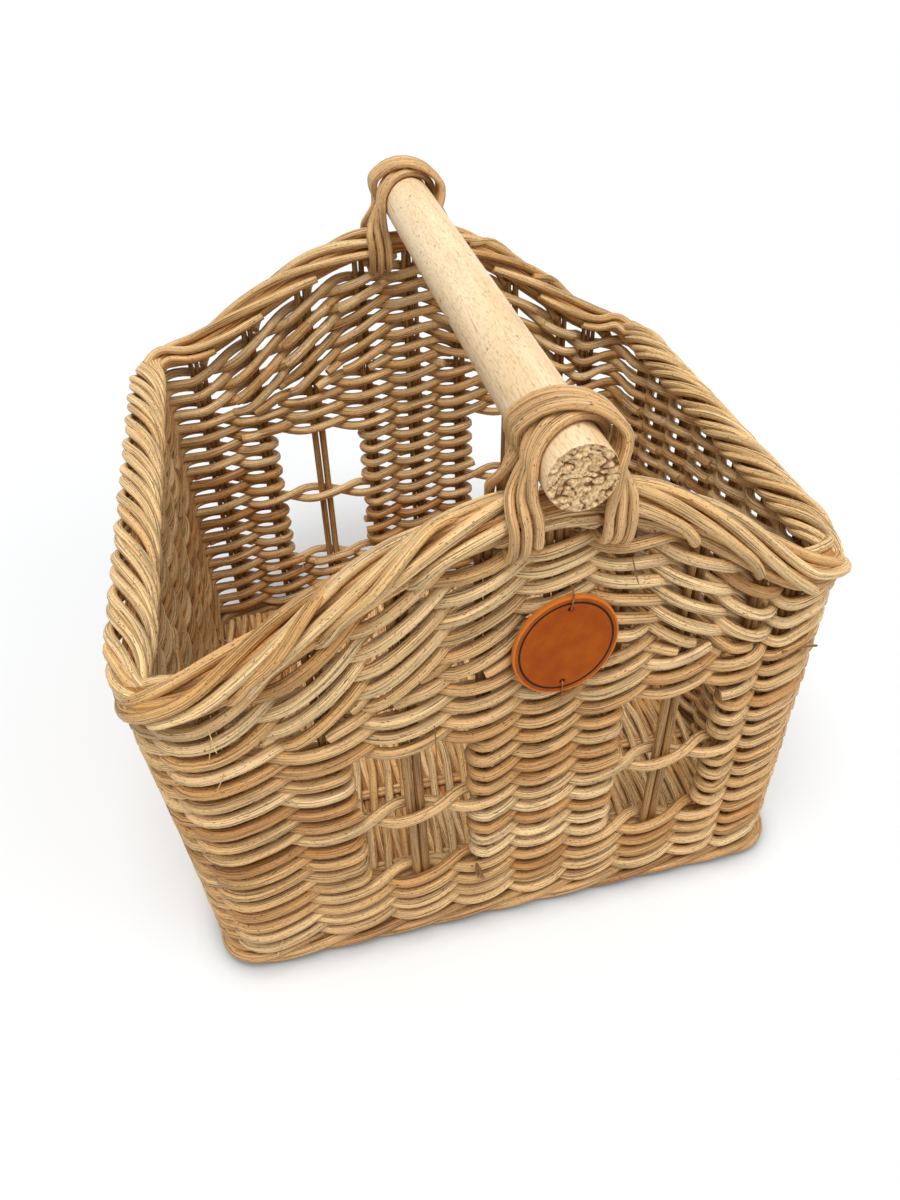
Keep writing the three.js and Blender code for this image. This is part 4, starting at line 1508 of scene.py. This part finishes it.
@dataclass(frozen=True)
class PoleFinish:
    """Peeled pale wood with fine streaks, and the rough fibres of its sawn ends, darker in their deeper
    chips as painted shade.
    """

    pale: Colour = srgb(251, 228, 189)
    tan: Colour = srgb(238, 206, 160)
    streak: Colour = srgb(190, 148, 96)
    speck: Colour = srgb(150, 104, 60)
    # Painted shade for the deepest chips of the sawn ends.
    pit_shade: Colour = srgb(130, 84, 44)

    def material(self) -> bpy.types.Material:
        """Make the material.

        Returns:
            The material.
        """
        material, tree = new_material("peeled_pole")
        place = tree.add("TexCoord").outputs["Object"]
        depth = tree.add("Attribute", attribute_name="chip").outputs["Fac"]
        wide = tree.grain(place, (70.0, 6.0, 70.0), 3.0)
        fine = tree.grain(place, (520.0, 26.0, 520.0), 4.0)
        hairs = tree.grain(place, (1200.0, 190.0, 1200.0), 3.0)
        dots = tree.grain(place, (300.0, 120.0, 300.0), 2.0)
        tuft = tree.grain(place, (760.0, 760.0, 760.0), 5.0)
        base = tree.mix(tree.ramp(wide, ((0.35, 0.0), (0.65, 1.0))), self.tan, self.pale)
        flecked = tree.mix(tree.ramp(hairs, ((0.32, 0.5), (0.5, 0.0))), base, self.streak)
        lined = tree.mix(tree.ramp(fine, ((0.26, 0.65), (0.43, 0.0))), flecked, self.streak)
        marks = tree.math("MULTIPLY", tree.ramp(dots, ((0.68, 0.0), (0.74, 1.0))), 0.7)
        speckled = tree.mix(marks, lined, self.speck)
        rough_end = tree.mix(tree.ramp(tuft, ((0.35, 0.0), (0.58, 1.0))), self.streak, self.tan)
        # Painted shade: the deeper a chip of a sawn end, the darker its colour.
        end_colour = tree.mix(tree.ramp(depth, ((0.45, 0.0), (1.0, 0.95))), rough_end, self.pit_shade)
        is_end = tree.ramp(depth, ((0.02, 0.0), (0.06, 1.0)))
        height = tree.math("ADD", fine, tree.math("MULTIPLY", tuft, tree.math("MULTIPLY", is_end, 4.0)))
        tree.surface({
            "Base Color": tree.mix(is_end, speckled, end_colour),
            "Roughness": tree.math("ADD", tree.math("MULTIPLY", is_end, 0.3), 0.5),
            "Normal": tree.bump(height, 0.3, 0.0004),
            "Specular IOR Level": 0.3,
        })
        return material


def extruded(work: bmesh.types.BMesh,
             loop: list[bmesh.types.BMEdge]) -> tuple[list[bmesh.types.BMEdge], list[bmesh.types.BMVert]]:
    """Extrude a loop of edges and give the new edges and their points."""
    made = bmesh.ops.extrude_edge_only(work, edges=loop)["geom"]
    edges = [g for g in made if isinstance(g, bmesh.types.BMEdge)]
    return edges, [g for g in made if isinstance(g, bmesh.types.BMVert)]


@dataclass
class HandlePole(Part):
    """Straight peeled pole over the two peaks, with rough sawn ends.

    Within edge_length of an end, its side narrows by edge_drop of the radius and is ragged. An end
    is chipped by about chip_depth, but only by worn_share of that past worn_from of the radius.
    """

    front_overhang: float = 0.025
    back_overhang: float = 0.022
    radius: float = 0.0175
    seat_gap: float = 0.0003
    segments: int = 128
    end_rings: int = 24
    body_rings: int = 60
    edge_rings: tuple[float, ...] = (0.0009, 0.0022, 0.005)
    edge_length: float = 0.004
    edge_drop: float = 0.035
    ragged: float = 0.012
    swell: float = 0.006
    chip_depth: float = 0.0022
    worn_from: float = 0.97
    worn_share: float = 0.55

    @property
    def level(self) -> float:
        """Height of the pole's axis."""
        return self.plan.peak_z + self.plan.rim_height / 2 + self.radius + self.seat_gap

    def chipped(self, x: float, z: float, inward: int) -> float:
        """How deep an end is chipped at a point, as a share of chip_depth.

        Args:
            x: Place of the point from left to right.
            z: Height of the point.
            inward: Sign of Y that leads into the pole.

        Returns:
            The share.
        """
        coarse = noise.noise(Vector((x * 340, inward * 4.0, z * 340)))
        cells = noise.noise(Vector((x * 880, inward * 9.0, z * 880)))
        crack = abs(noise.noise(Vector((x * 150 + 5, inward * 2.0, z * 210))))
        depth = 0.42 + 0.5 * coarse + 0.35 * cells + 0.8 * max(0.0, 0.09 - crack) / 0.09
        depth = min(max(depth, 0.08), 1.25)
        away = math.hypot(x - self.plan.origin[0] - self.plan.pole_offset, z - self.level)
        return depth * self.worn_share if away > self.radius * self.worn_from else depth

    def shape_end(self, work: bmesh.types.BMesh, face: bmesh.types.BMFace, inward: int,
                  chip: bmesh.types.BMLayerItem) -> None:
        """Turn a flat end into a chipped one.

        Args:
            work: Mesh under construction.
            face: The flat end.
            inward: Sign of Y that leads into the pole.
            chip: Layer that takes how deep each point lies.
        """
        centre = face.calc_center_median()
        moved: set[bmesh.types.BMVert] = set(face.verts)
        loop = list(face.edges)
        bmesh.ops.delete(work, geom=[face], context="FACES_ONLY")
        for i in range(self.end_rings):
            loop, ring = extruded(work, loop)
            share = 1 - 1 / (self.end_rings + 1 - i)
            bmesh.ops.scale(work, vec=(share, 1, share), space=Matrix.Translation(-centre), verts=ring)
            moved |= set(ring)
        cap = bmesh.ops.contextual_create(work, geom=loop)["faces"]
        moved |= set(bmesh.ops.poke(work, faces=cap)["verts"])
        for vert in moved:
            depth = self.chipped(vert.co.x, vert.co.z, inward)
            vert.co.y += inward * self.chip_depth * depth
            vert[chip] = max(depth, 0.1)

    def reach(self, angle: float, offset: float, length: float) -> float:
        """Distance of the pole's side from its axis.

        Args:
            angle: Place round the pole.
            offset: Distance from its front end.
            length: Its whole length.

        Returns:
            The distance, at most the radius.
        """
        edge = min(offset, length - offset)
        c, s = math.cos(angle), math.sin(angle)
        share = 1.0 - self.edge_drop * (1 - smoothstep(0.0, self.edge_length, edge))
        if edge < self.edge_length:
            share += self.ragged * noise.noise(Vector((c * 9, offset * 900, s * 9)))
        share += self.swell * noise.noise(Vector((c, offset * 14, s)))
        return self.radius * min(share, 1.0)

    def build(self) -> None:
        """Build the pole."""
        low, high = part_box("handle_pole")
        centre = (low + high) / 2
        length = high.y - low.y
        work = bmesh.new()
        chip = work.verts.layers.float.new("chip")
        turn = Matrix.Translation((centre.x, low.y, centre.z)) @ Matrix.Rotation(math.pi / 2, 4, "X")
        bmesh.ops.create_circle(work, cap_ends=True, radius=self.radius * (1 - self.edge_drop),
                                segments=self.segments, matrix=turn)
        front = work.faces[:][0]
        loop = list(front.edges)
        offsets = [*self.edge_rings, *(length - edge for edge in self.edge_rings), length]
        offsets += [length * i / self.body_rings for i in range(1, self.body_rings)]
        for offset in sorted(offsets):
            loop, ring = extruded(work, loop)
            for vert in ring:
                angle = math.atan2(vert.co.z - centre.z, vert.co.x - centre.x)
                across = Vector((math.cos(angle), 0.0, math.sin(angle))) * self.reach(angle, offset, length)
                vert.co = Vector((centre.x, low.y + offset, centre.z)) + across
        back = bmesh.ops.contextual_create(work, geom=loop)["faces"][0]
        for vert in work.verts:
            vert[chip] = 0.0
        self.shape_end(work, front, 1, chip)
        self.shape_end(work, back, -1, chip)
        bmesh.ops.recalc_face_normals(work, faces=work.faces)
        for face in work.faces:
            face.smooth = True
        mesh = bpy.data.meshes.new("peeled_handle_pole")
        work.to_mesh(mesh)
        work.free()
        mesh.materials.append(self.material)
        finish_piece(linked("peeled_handle_pole", mesh), "pole", "handle_pole")


@dataclass
class Lashing(Part):
    """One cane wound over the pole and under the rim, in crossing pairs of turns.

    A leg rises from the rim to the pole through given heights. They are shares of the rim's height
    above the peak or of the pole's radius above its axis, each with the leg's turn in degrees
    from square to the rim, 0, to square to the pole, 90.
    """

    wall: Wall
    pole: HandlePole
    rim_width: float = GableRim.width
    cane_radius: float = 0.0025
    gap: float = 0.0008
    pairs: int = 3
    pitch: float = 0.0061
    first_leg: float = 0.0175
    by_rim: tuple[tuple[float, int], ...] = ((-0.45, 0), (0.05, 0), (0.38, 15))
    by_pole: tuple[tuple[float, int], ...] = ((-0.78, 48), (-0.38, 72), (-0.16, 83))
    arc_steps: int = 12
    rise_span: int = 30
    under_rim: float = 0.75
    step: float = 0.002

    def __post_init__(self) -> None:
        """Work out the distances that the turns keep to."""
        self.leg = self.rim_width / 2 + self.gap + self.cane_radius
        self.hug = self.pole.radius + self.gap + self.cane_radius
        self.peak_ring = self.plan.from_pole(self.wall, 0.0)
        self.sign = 1 if self.wall is Wall.FRONT else -1
        self.levels = [(self.plan.peak_z + self.plan.rim_height * share, degrees)
                       for share, degrees in self.by_rim]
        self.levels += [(self.pole.level + self.pole.radius * share, degrees)
                        for share, degrees in self.by_pole]

    def beside(self, z: float, out: float, side: float) -> Vector:
        """Point square to the pole: out from the rim, side to the right seen from outside."""
        peak = self.plan.at(self.peak_ring, self.plan.peak_z)
        return Vector((peak.x + self.sign * side, peak.y - self.sign * out, z))

    def upright(self, side: int, face: int, index: float) -> list[Vector]:
        """Follow a leg from the run under the rim up to the side of the pole.

        Args:
            side: 1 for a leg at the right seen from outside, -1 at the left.
            face: 1 for a leg outside of the rim, -1 inside.
            index: Its place, in turns from the first one.

        Returns:
            Points along the leg.
        """
        points = []
        for z, degrees in self.levels:
            turn = math.radians(degrees)
            base = self.first_leg + (self.hug - self.first_leg) * math.sin(turn)
            u = side * (base + self.pitch * index * math.cos(turn))
            v = face * (self.leg - self.pitch * index * math.sin(turn))
            square = self.plan.at(self.peak_ring, z, v, u)
            points.append(square.lerp(self.beside(z, v, u), math.sin(turn)))
        return points

    def arc(self, start: float, end: float, lift: int) -> list[Vector]:
        """Follow an arc over the pole.

        Args:
            start: Distance outwards where it starts, at the left.
            end: Distance outwards where it ends.
            lift: 1 for a crossing arc, which rides over the others, or 0.

        Returns:
            Points along the arc.
        """
        points = []
        for i in range(self.arc_steps + 1):
            degrees = 180 * i / self.arc_steps - 90
            angle = math.radians(degrees)
            rise = smoothstep(0, self.rise_span, 90 - abs(degrees))
            radius = self.hug + lift * rise * (2 * self.cane_radius + self.gap)
            v = start + (end - start) * (degrees + 90) / 180
            z = self.pole.level + radius * math.cos(angle)
            points.append(self.beside(z, v, radius * math.sin(angle)))
        return points

    def run(self, side: int, index: int, following: int) -> list[Vector]:
        """Follow a run under the rim, from inside to outside.

        Args:
            side: 1 for a run at the right seen from outside, -1 at the left.
            index: Its place where it starts, in turns.
            following: Its place where it ends.

        Returns:
            Points along the run.
        """
        points = []
        edge = self.under_rim
        for i, face in ((index, -edge), ((index + following) / 2, 0.0), (following, edge)):
            u = side * (self.first_leg + self.pitch * i)
            ring = self.plan.from_pole(self.wall, u)
            z = self.plan.underside(ring) - self.gap - self.cane_radius
            points.append(self.plan.at(ring, z, face * self.leg))
        return points

    def route(self) -> list[Vector]:
        """Join the parts of the whole winding in order.

        Returns:
            Points of the route.
        """
        points: list[Vector] = []
        last = self.pairs - 1
        for j in range(self.pairs):
            near = self.leg - self.pitch * j
            far = self.leg - self.pitch * (last - j)
            points += self.upright(-1, 1, j)
            points += self.arc(near, -far, 0)
            points += reversed(self.upright(1, -1, last - j))
            points += self.run(1, last - j, last - j)
            points += self.upright(1, 1, last - j)
            points += reversed(self.arc(-near, far, 1))
            points += reversed(self.upright(-1, -1, j))
            if j < last:
                points += self.run(-1, j, j + 1)
        return points

    def build(self) -> None:
        """Build the lashing."""
        name = f"{self.wall.name.lower()}_lashing"
        bundle = Bundle(f"{name}_cane", bevel=4)
        bundle.add(curve_through(self.route(), self.step), self.cane_radius * 1.03, 0.55, wobble=0.05)
        finish_piece(bundle.build(self.material), "lashing", name)


@dataclass(frozen=True)
class LeatherFinish:
    """Smooth tan leather with a paler cut edge and a plain dark line round its face."""

    face: Colour = srgb(172, 80, 0)
    deep: Colour = srgb(154, 66, 0)
    edge: Colour = srgb(206, 118, 44)
    line: Colour = srgb(38, 26, 18)

    def material(self, half_width: float, half_height: float) -> bpy.types.Material:
        """Make the material.

        Args:
            half_width: Half of the tag's width.
            half_height: Half of its height.

        Returns:
            The material.
        """
        material, tree = new_material("tan_leather")
        place = tree.add("Attribute", attribute_name="disc").outputs["Vector"]
        scale = (1 / half_width, 1 / half_height, 0.0)
        flattened = tree.add("VectorMath", {0: place, 1: scale}, operation="MULTIPLY").outputs[0]
        away = tree.add("VectorMath", {0: flattened}, operation="LENGTH").outputs["Value"]
        cloud = tree.grain(place, (90.0, 90.0, 90.0), 4.0)
        pores = tree.grain(place, (1500.0, 1500.0, 1500.0), 3.0)
        base = tree.mix(tree.ramp(cloud, ((0.35, 0.0), (0.65, 1.0))), self.deep, self.face)
        grainy = tree.mix(0.35, base, tree.ramp(pores, ((0.35, 0.7), (0.6, 1.1))), "MULTIPLY")
        ring = tree.ramp(away, ((0.858, 0.0), (0.866, 1.0), (0.9, 1.0), (0.908, 0.0)))
        lined = tree.mix(ring, grainy, self.line)
        rim = tree.ramp(away, ((0.955, 0.0), (0.975, 1.0)))
        height = tree.math("SUBTRACT", tree.math("MULTIPLY", pores, 0.4), ring)
        tree.surface({
            "Base Color": tree.mix(rim, lined, self.edge),
            "Roughness": tree.math("ADD", tree.math("MULTIPLY", pores, 0.2), 0.5),
            "Normal": tree.bump(height, 0.5, 0.0003),
            "Specular IOR Level": 0.12,
        })
        return material


@dataclass(frozen=True)
class WireFinish:
    """Thin wire in brown lacquer, worn brighter in places."""

    colour: Colour = srgb(120, 70, 32)
    worn: Colour = srgb(178, 112, 56)

    def material(self) -> bpy.types.Material:
        """Make the material.

        Returns:
            The material.
        """
        material, tree = new_material("brown_wire")
        wear = tree.grain(tree.add("TexCoord").outputs["Object"], (700.0, 700.0, 700.0), 3.0)
        tree.surface({
            "Base Color": tree.mix(tree.ramp(wear, ((0.45, 0.0), (0.7, 1.0))), self.colour, self.worn),
            "Roughness": tree.ramp(wear, ((0.3, 0.55), (0.7, 0.35))),
            "Metallic": 0.35,
        })
        return material


@dataclass
class LeatherTag(Part):
    """Oval leather tag on the front wall, bare but for a plain line, with its two wire ties."""

    wire: bpy.types.Material
    width: float = 0.059
    height: float = 0.067
    thickness: float = 0.003
    wall_thickness: float = 0.019
    gap: float = 0.0005
    shift: float = 0.003
    z: float = 0.250
    hole_radius: float = 0.0016
    hole_spacing: float = 0.051
    edge_bevel: float = 0.0005
    wire_radius: float = 0.0005

    def frame(self) -> Matrix:
        """Find the place of the tag.

        Returns:
            Its frame: X to the right seen from outside, Y up the wall, Z outwards.
        """
        ring = self.plan.from_pole(Wall.FRONT, self.shift)
        out = self.wall_thickness / 2 + self.gap
        centre = self.plan.at(ring, self.z, out)
        up = (self.plan.at(ring, self.z + 0.001, out) - centre).normalized()
        right = (self.plan.at(ring, self.z, out, 0.001) - centre).normalized()
        outward = right.cross(up).normalized()
        up = outward.cross(right)
        return Matrix.Translation(centre) @ Matrix((right, up, outward)).transposed().to_4x4()

    def oval(self, curve: bpy.types.Curve, centre: float, half_width: float, half_height: float) -> None:
        """Add a closed oval to a flat curve.

        Args:
            curve: Curve that takes it.
            centre: Height of its centre.
            half_width: Half of its width.
            half_height: Half of its height.
        """
        spline = curve.splines.new("BEZIER")
        spline.bezier_points.add(3)
        handle = 0.5523
        for i, point in enumerate(spline.bezier_points):
            c, s = round(math.cos(TURN * i / 4)), round(math.sin(TURN * i / 4))
            point.co = (half_width * c, centre + half_height * s, 0.0)
            tangent = Vector((-half_width * s, half_height * c, 0.0)) * handle
            point.handle_left = point.co - tangent
            point.handle_right = point.co + tangent
        spline.use_cyclic_u = True

    def outline(self) -> bpy.types.Mesh:
        """Make the disc flat at the origin, from a filled curve with two holes.

        Returns:
            Its mesh.
        """
        curve = bpy.data.curves.new("tag", "CURVE")
        curve.dimensions = "2D"
        curve.fill_mode = "BOTH"
        curve.resolution_u = 18
        curve.extrude = self.thickness / 2 - self.edge_bevel
        curve.bevel_depth = self.edge_bevel
        curve.bevel_resolution = 3
        curve.offset = -self.edge_bevel
        self.oval(curve, 0.0, self.width / 2, self.height / 2)
        for side in (-1, 1):
            self.oval(curve, side * self.hole_spacing / 2, self.hole_radius, self.hole_radius)
        return mesh_of(curve)

    def disc(self) -> None:
        """Build the leather disc on the wall."""
        mesh = self.outline()
        mesh.name = "oval_leather_tag"
        work = bmesh.new()
        work.from_mesh(mesh)
        bmesh.ops.remove_doubles(work, verts=work.verts, dist=1e-6)
        bmesh.ops.triangulate(work, faces=[f for f in work.faces if len(f.verts) > 4])
        bmesh.ops.recalc_face_normals(work, faces=work.faces)
        for face in work.faces:
            face.smooth = abs(face.normal.z) < 0.99
        work.to_mesh(mesh)
        work.free()
        places = np.zeros(len(mesh.vertices) * 3, np.float32)
        mesh.vertices.foreach_get("co", places)
        disc = mesh.attributes.new("disc", "FLOAT_VECTOR", "POINT")
        disc.data.foreach_set("vector", places)
        mesh.transform(self.frame() @ Matrix.Translation((0, 0, self.thickness / 2)))
        mesh.materials.clear()
        mesh.materials.append(self.material)
        finish_piece(linked("oval_leather_tag", mesh), "leather", "leather_tag")

    def tie(self, side: int) -> None:
        """Build the wire that comes out of the weave, over the edge and down through a hole.

        Args:
            side: 1 for the upper tie, -1 for the lower one.
        """
        hole = side * self.hole_spacing / 2
        edge = side * self.height / 2
        front = self.thickness + self.wire_radius * 1.6
        places = self.frame()
        route = [
            (0.0, edge + side * 0.0052, -0.0022),
            (0.0003, edge + side * 0.0044, 0.0012),
            (0.0003, edge + side * 0.0014, front),
            (0.0, (edge + hole) / 2, front),
            (-0.0002, hole + side * 0.0007, front),
            (0.0, hole, self.thickness / 2),
            (0.0, hole, -0.0006),
        ]
        path = curve_through([places @ Vector(p) for p in route], 0.0006)
        name = f"tag_tie_{'upper' if side > 0 else 'lower'}"
        bundle = Bundle(f"{name}_wire")
        bundle.add(path, self.wire_radius, 0.5, wobble=0.02)
        finish_piece(bundle.build(self.wire), "wire", name)

    def build(self) -> None:
        """Build the tag and its ties."""
        self.disc()
        for side in (-1, 1):
            self.tie(side)


@dataclass
class LooseEnds(Part):
    """Small signs of hand work: stray fibres that spring from the canes."""

    bark: bpy.types.Material
    radius: float = 0.00028
    splinter_radius: float = 0.0008

    def fibre(self, ring: float, z: float, out: float, reach: Vector, curl: float) -> list[Vector]:
        """Follow a fibre from the wall.

        Args:
            ring: Ring place of its root.
            z: Height of its root.
            out: Distance of its root outwards from the middle of the wall.
            reach: Where its tip is from its root.
            curl: How far its middle bows, upwards.

        Returns:
            Points along the fibre.
        """
        root = self.plan.at(ring, z, out)
        bow = Vector((0.0, 0.0, curl))
        route = [root, root + reach * 0.35 + bow * 0.8, root + reach * 0.7 + bow, root + reach]
        return curve_through(route, 0.0012)

    def dark_strands(self) -> None:
        """Build the brown strands: a splinter at a corner, two curls of bark and a frayed end."""
        bundle = Bundle("brown_strands", bevel=1)
        corner = self.plan.from_pole(Wall.FRONT, 0.150)
        splinter = self.fibre(corner, 0.2035, 0.008, Vector((0.026, 0.002, -0.002)), 0.001)
        bundle.add(splinter, self.splinter_radius, 0.2, ends=(1.0, 0.25))
        for distance, z, drop in ((0.0368, 0.2995, Vector((0.0045, -0.003, -0.016))),
                                  (-0.0698, 0.2075, Vector((0.0005, -0.003, -0.026)))):
            curl = self.fibre(self.plan.from_pole(Wall.FRONT, distance), z, 0.0098, drop, -0.001)
            bundle.add(curl, self.radius * 1.3, 0.1, ends=(0.8, 0.4))
        frayed = self.plan.from_pole(Wall.FRONT, -0.0465)
        rng = random.Random(95)
        for _ in range(7):
            tip = Vector((rng.uniform(-0.003, 0.006), rng.uniform(-0.008, -0.004), -rng.uniform(0.0, 0.01)))
            bundle.add(self.fibre(frayed, 0.064, 0.0075, tip, 0.001), self.radius * rng.uniform(1.5, 2.6),
                       rng.uniform(0.0, 0.5), ends=(1.0, 0.7))
        finish_piece(bundle.build(self.bark), "stake")

    def fibres(self) -> None:
        """Build the pale fibres: four at the left corner of the front and one at the back."""
        bundle = Bundle("stray_fibres", bevel=1)
        left = self.plan.corner_share + 0.021
        back = self.plan.from_pole(Wall.BACK, 0.098)
        strays = (
            (left, 0.235, 0.009, (-0.003, -0.006, -0.012), -0.001),
            (left, 0.241, 0.009, (0.002, -0.005, -0.013), -0.001),
            (left, 0.205, 0.009, (-0.005, -0.004, -0.007), -0.001),
            (left, 0.030, 0.009, (-0.005, -0.003, -0.012), 0.001),
            (back, 0.060, -0.0095, (-0.015, -0.010, 0.000), 0.013),
        )
        for ring, z, out, reach, curl in strays:
            bundle.add(self.fibre(ring, z, out, Vector(reach), curl), self.radius, 0.8, ends=(1.0, 0.3))
        finish_piece(bundle.build(self.material), "weave")

    def build(self) -> None:
        """Build both kinds."""
        self.fibres()
        self.dark_strands()


@dataclass
class Studio:
    """Camera, pale floor with a painted contact shadow, and plain soft light."""

    plan: Plan
    focal_pixels: float = 942.4
    image_height: float = 1200.0
    image_width: float = 900.0
    principal: tuple[float, float] = (508.1, 590.4)
    stand: Point = (-0.1302, -0.5189, 0.5802)
    right: Point = (0.9593, -0.2790, 0.0448)
    down: Point = (-0.1438, -0.6185, -0.7725)
    sensor: float = 36.0
    world_tint: Colour = (1.0, 0.995, 0.99, 1.0)
    world_light: float = 0.32
    white: Colour = (1.0, 1.0, 1.0, 1.0)
    floor_size: float = 6.0
    floor_colour: Colour = (0.765, 0.78, 0.79, 1.0)
    # Colour of the painted contact shadow that darkens the floor next to the basket.
    painted_contact_shadow: Colour = (0.33, 0.337, 0.34, 1.0)
    floor_glow: float = 0.085
    # How far from the basket the painted contact shadow reaches.
    painted_shadow_reach: float = 0.019

    def camera(self) -> None:
        """Set the camera up at the photograph's viewing angle."""
        data = bpy.data.cameras.new("camera")
        data.sensor_width = self.sensor
        data.lens = self.focal_pixels / self.image_height * self.sensor
        data.shift_x = (self.image_width / 2 - self.principal[0]) / self.image_height
        data.shift_y = (self.principal[1] - self.image_height / 2) / self.image_height
        data.clip_start = 0.01
        camera = linked("camera", data)
        x_axis = Vector(self.right).normalized()
        z_axis = x_axis.cross(-Vector(self.down)).normalized()
        y_axis = z_axis.cross(x_axis)
        spot = Vector(self.stand) + Vector((*self.plan.origin, 0.0))
        camera.matrix_world = (Matrix.Translation(spot)
                               @ Matrix((x_axis, y_axis, z_axis)).transposed().to_4x4())
        bpy.context.scene.camera = camera

    def shown(self, tree: Tree) -> Socket:
        """Share of rays that show the stage itself: from the camera, a gloss or a glass."""
        path = tree.add("LightPath").outputs
        rays = tree.math("ADD", path["Is Camera Ray"], path["Is Glossy Ray"])
        return tree.math("MINIMUM", tree.math("ADD", rays, path["Is Transmission Ray"]), 1.0)

    def world(self) -> None:
        """White surroundings that light the basket evenly."""
        world = bpy.data.worlds.new("studio")
        bpy.context.scene.world = world
        world.use_nodes = True
        tree = Tree(world.node_tree)
        light = tree.add("Background", {"Color": self.world_tint, "Strength": self.world_light})
        white = tree.add("Background", {"Color": self.white, "Strength": 1.0})
        mix = tree.add("MixShader", {0: self.shown(tree), 1: light.outputs[0], 2: white.outputs[0]})
        tree.add("OutputWorld", {0: mix.outputs[0]})

    def floor(self) -> None:
        """Pale floor that keeps the basket's real shadow, plus a painted contact shadow where the basket
        stands close.
        """
        work = bmesh.new()
        bmesh.ops.create_grid(work, x_segments=1, y_segments=1, size=self.floor_size)
        mesh = bpy.data.meshes.new("floor")
        work.to_mesh(mesh)
        work.free()
        material, tree = new_material("floor")
        # Painted contact shadow: the floor colour darkens by ambient occlusion where the basket is near, on
        # top of its real shadow.
        near = tree.add("AmbientOcclusion", {"Distance": self.painted_shadow_reach}, samples=12).outputs["AO"]
        colour = tree.ramp(near, ((0.4, self.painted_contact_shadow), (0.97, self.floor_colour)))
        diffuse = tree.add("BsdfDiffuse", {"Color": colour})
        glow = tree.add("Emission", {"Color": self.white, "Strength": self.floor_glow})
        none = tree.add("Emission", {"Strength": 0.0})
        extra = tree.add("MixShader", {0: self.shown(tree), 1: none.outputs[0], 2: glow.outputs[0]})
        both = tree.add("AddShader", {0: diffuse.outputs[0], 1: extra.outputs[0]})
        tree.add("OutputMaterial", {0: both.outputs[0]})
        mesh.materials.append(material)
        linked("floor", mesh)

    def lamp(self, name: str, spot: Point, width: float, strength: float) -> None:
        """Add a soft light from far away.

        Args:
            name: Name of the light.
            spot: Where it shines from, seen from the basket.
            width: How wide it looks from the basket, in degrees.
            strength: Its light on a surface that faces it.
        """
        data = bpy.data.lights.new(name, "SUN")
        data.angle = math.radians(width)
        data.energy = strength
        light = linked(name, data)
        light.rotation_mode = "QUATERNION"
        light.rotation_quaternion = (-Vector(spot)).to_track_quat("-Z", "Y")
        light.location = spot

    def build(self) -> None:
        """Set the whole studio up."""
        self.camera()
        self.world()
        self.floor()
        self.lamp("key", (-0.35, -0.6, 2.2), 40, 2.6)
        self.lamp("fill", (1.2, -1.5, 1.2), 60, 0.75)
        bpy.context.scene.view_settings.view_transform = "Standard"


def main() -> None:
    """Build the basket and the studio."""
    logging.basicConfig(level=logging.INFO, format="%(message)s")
    plan = moved_plan()
    Studio(plan).build()
    group = fibre_group()
    weave = WEAVE_CANE.material(group)
    stake = STAKE_CANE.material(group)
    border = BORDER_CANE.material(group)
    lashing = LASHING_CANE.material(group)
    stakes = Stakes(plan, stake)
    stakes.build()
    Weave(plan, weave, stakes).build()
    for wall in (Wall.FRONT, Wall.BACK):
        GableRim(plan, border, wall).build()
    for wall in (Wall.RIGHT, Wall.LEFT):
        SideRim(plan, border, wall).build()
    FootBorder(plan, FOOT_CANE.material(group)).build()
    Base(plan, LIGHT_LIFTED_BASE_CANE.material(group)).build()
    pole = HandlePole(plan, PoleFinish().material())
    pole.build()
    for wall in (Wall.FRONT, Wall.BACK):
        Lashing(plan, lashing, wall, pole).build()
    leather = LeatherFinish().material(LeatherTag.width / 2, LeatherTag.height / 2)
    LeatherTag(plan, leather, WireFinish().material()).build()
    LooseEnds(plan, weave, stake).build()


if __name__ == "__main__":
    main()
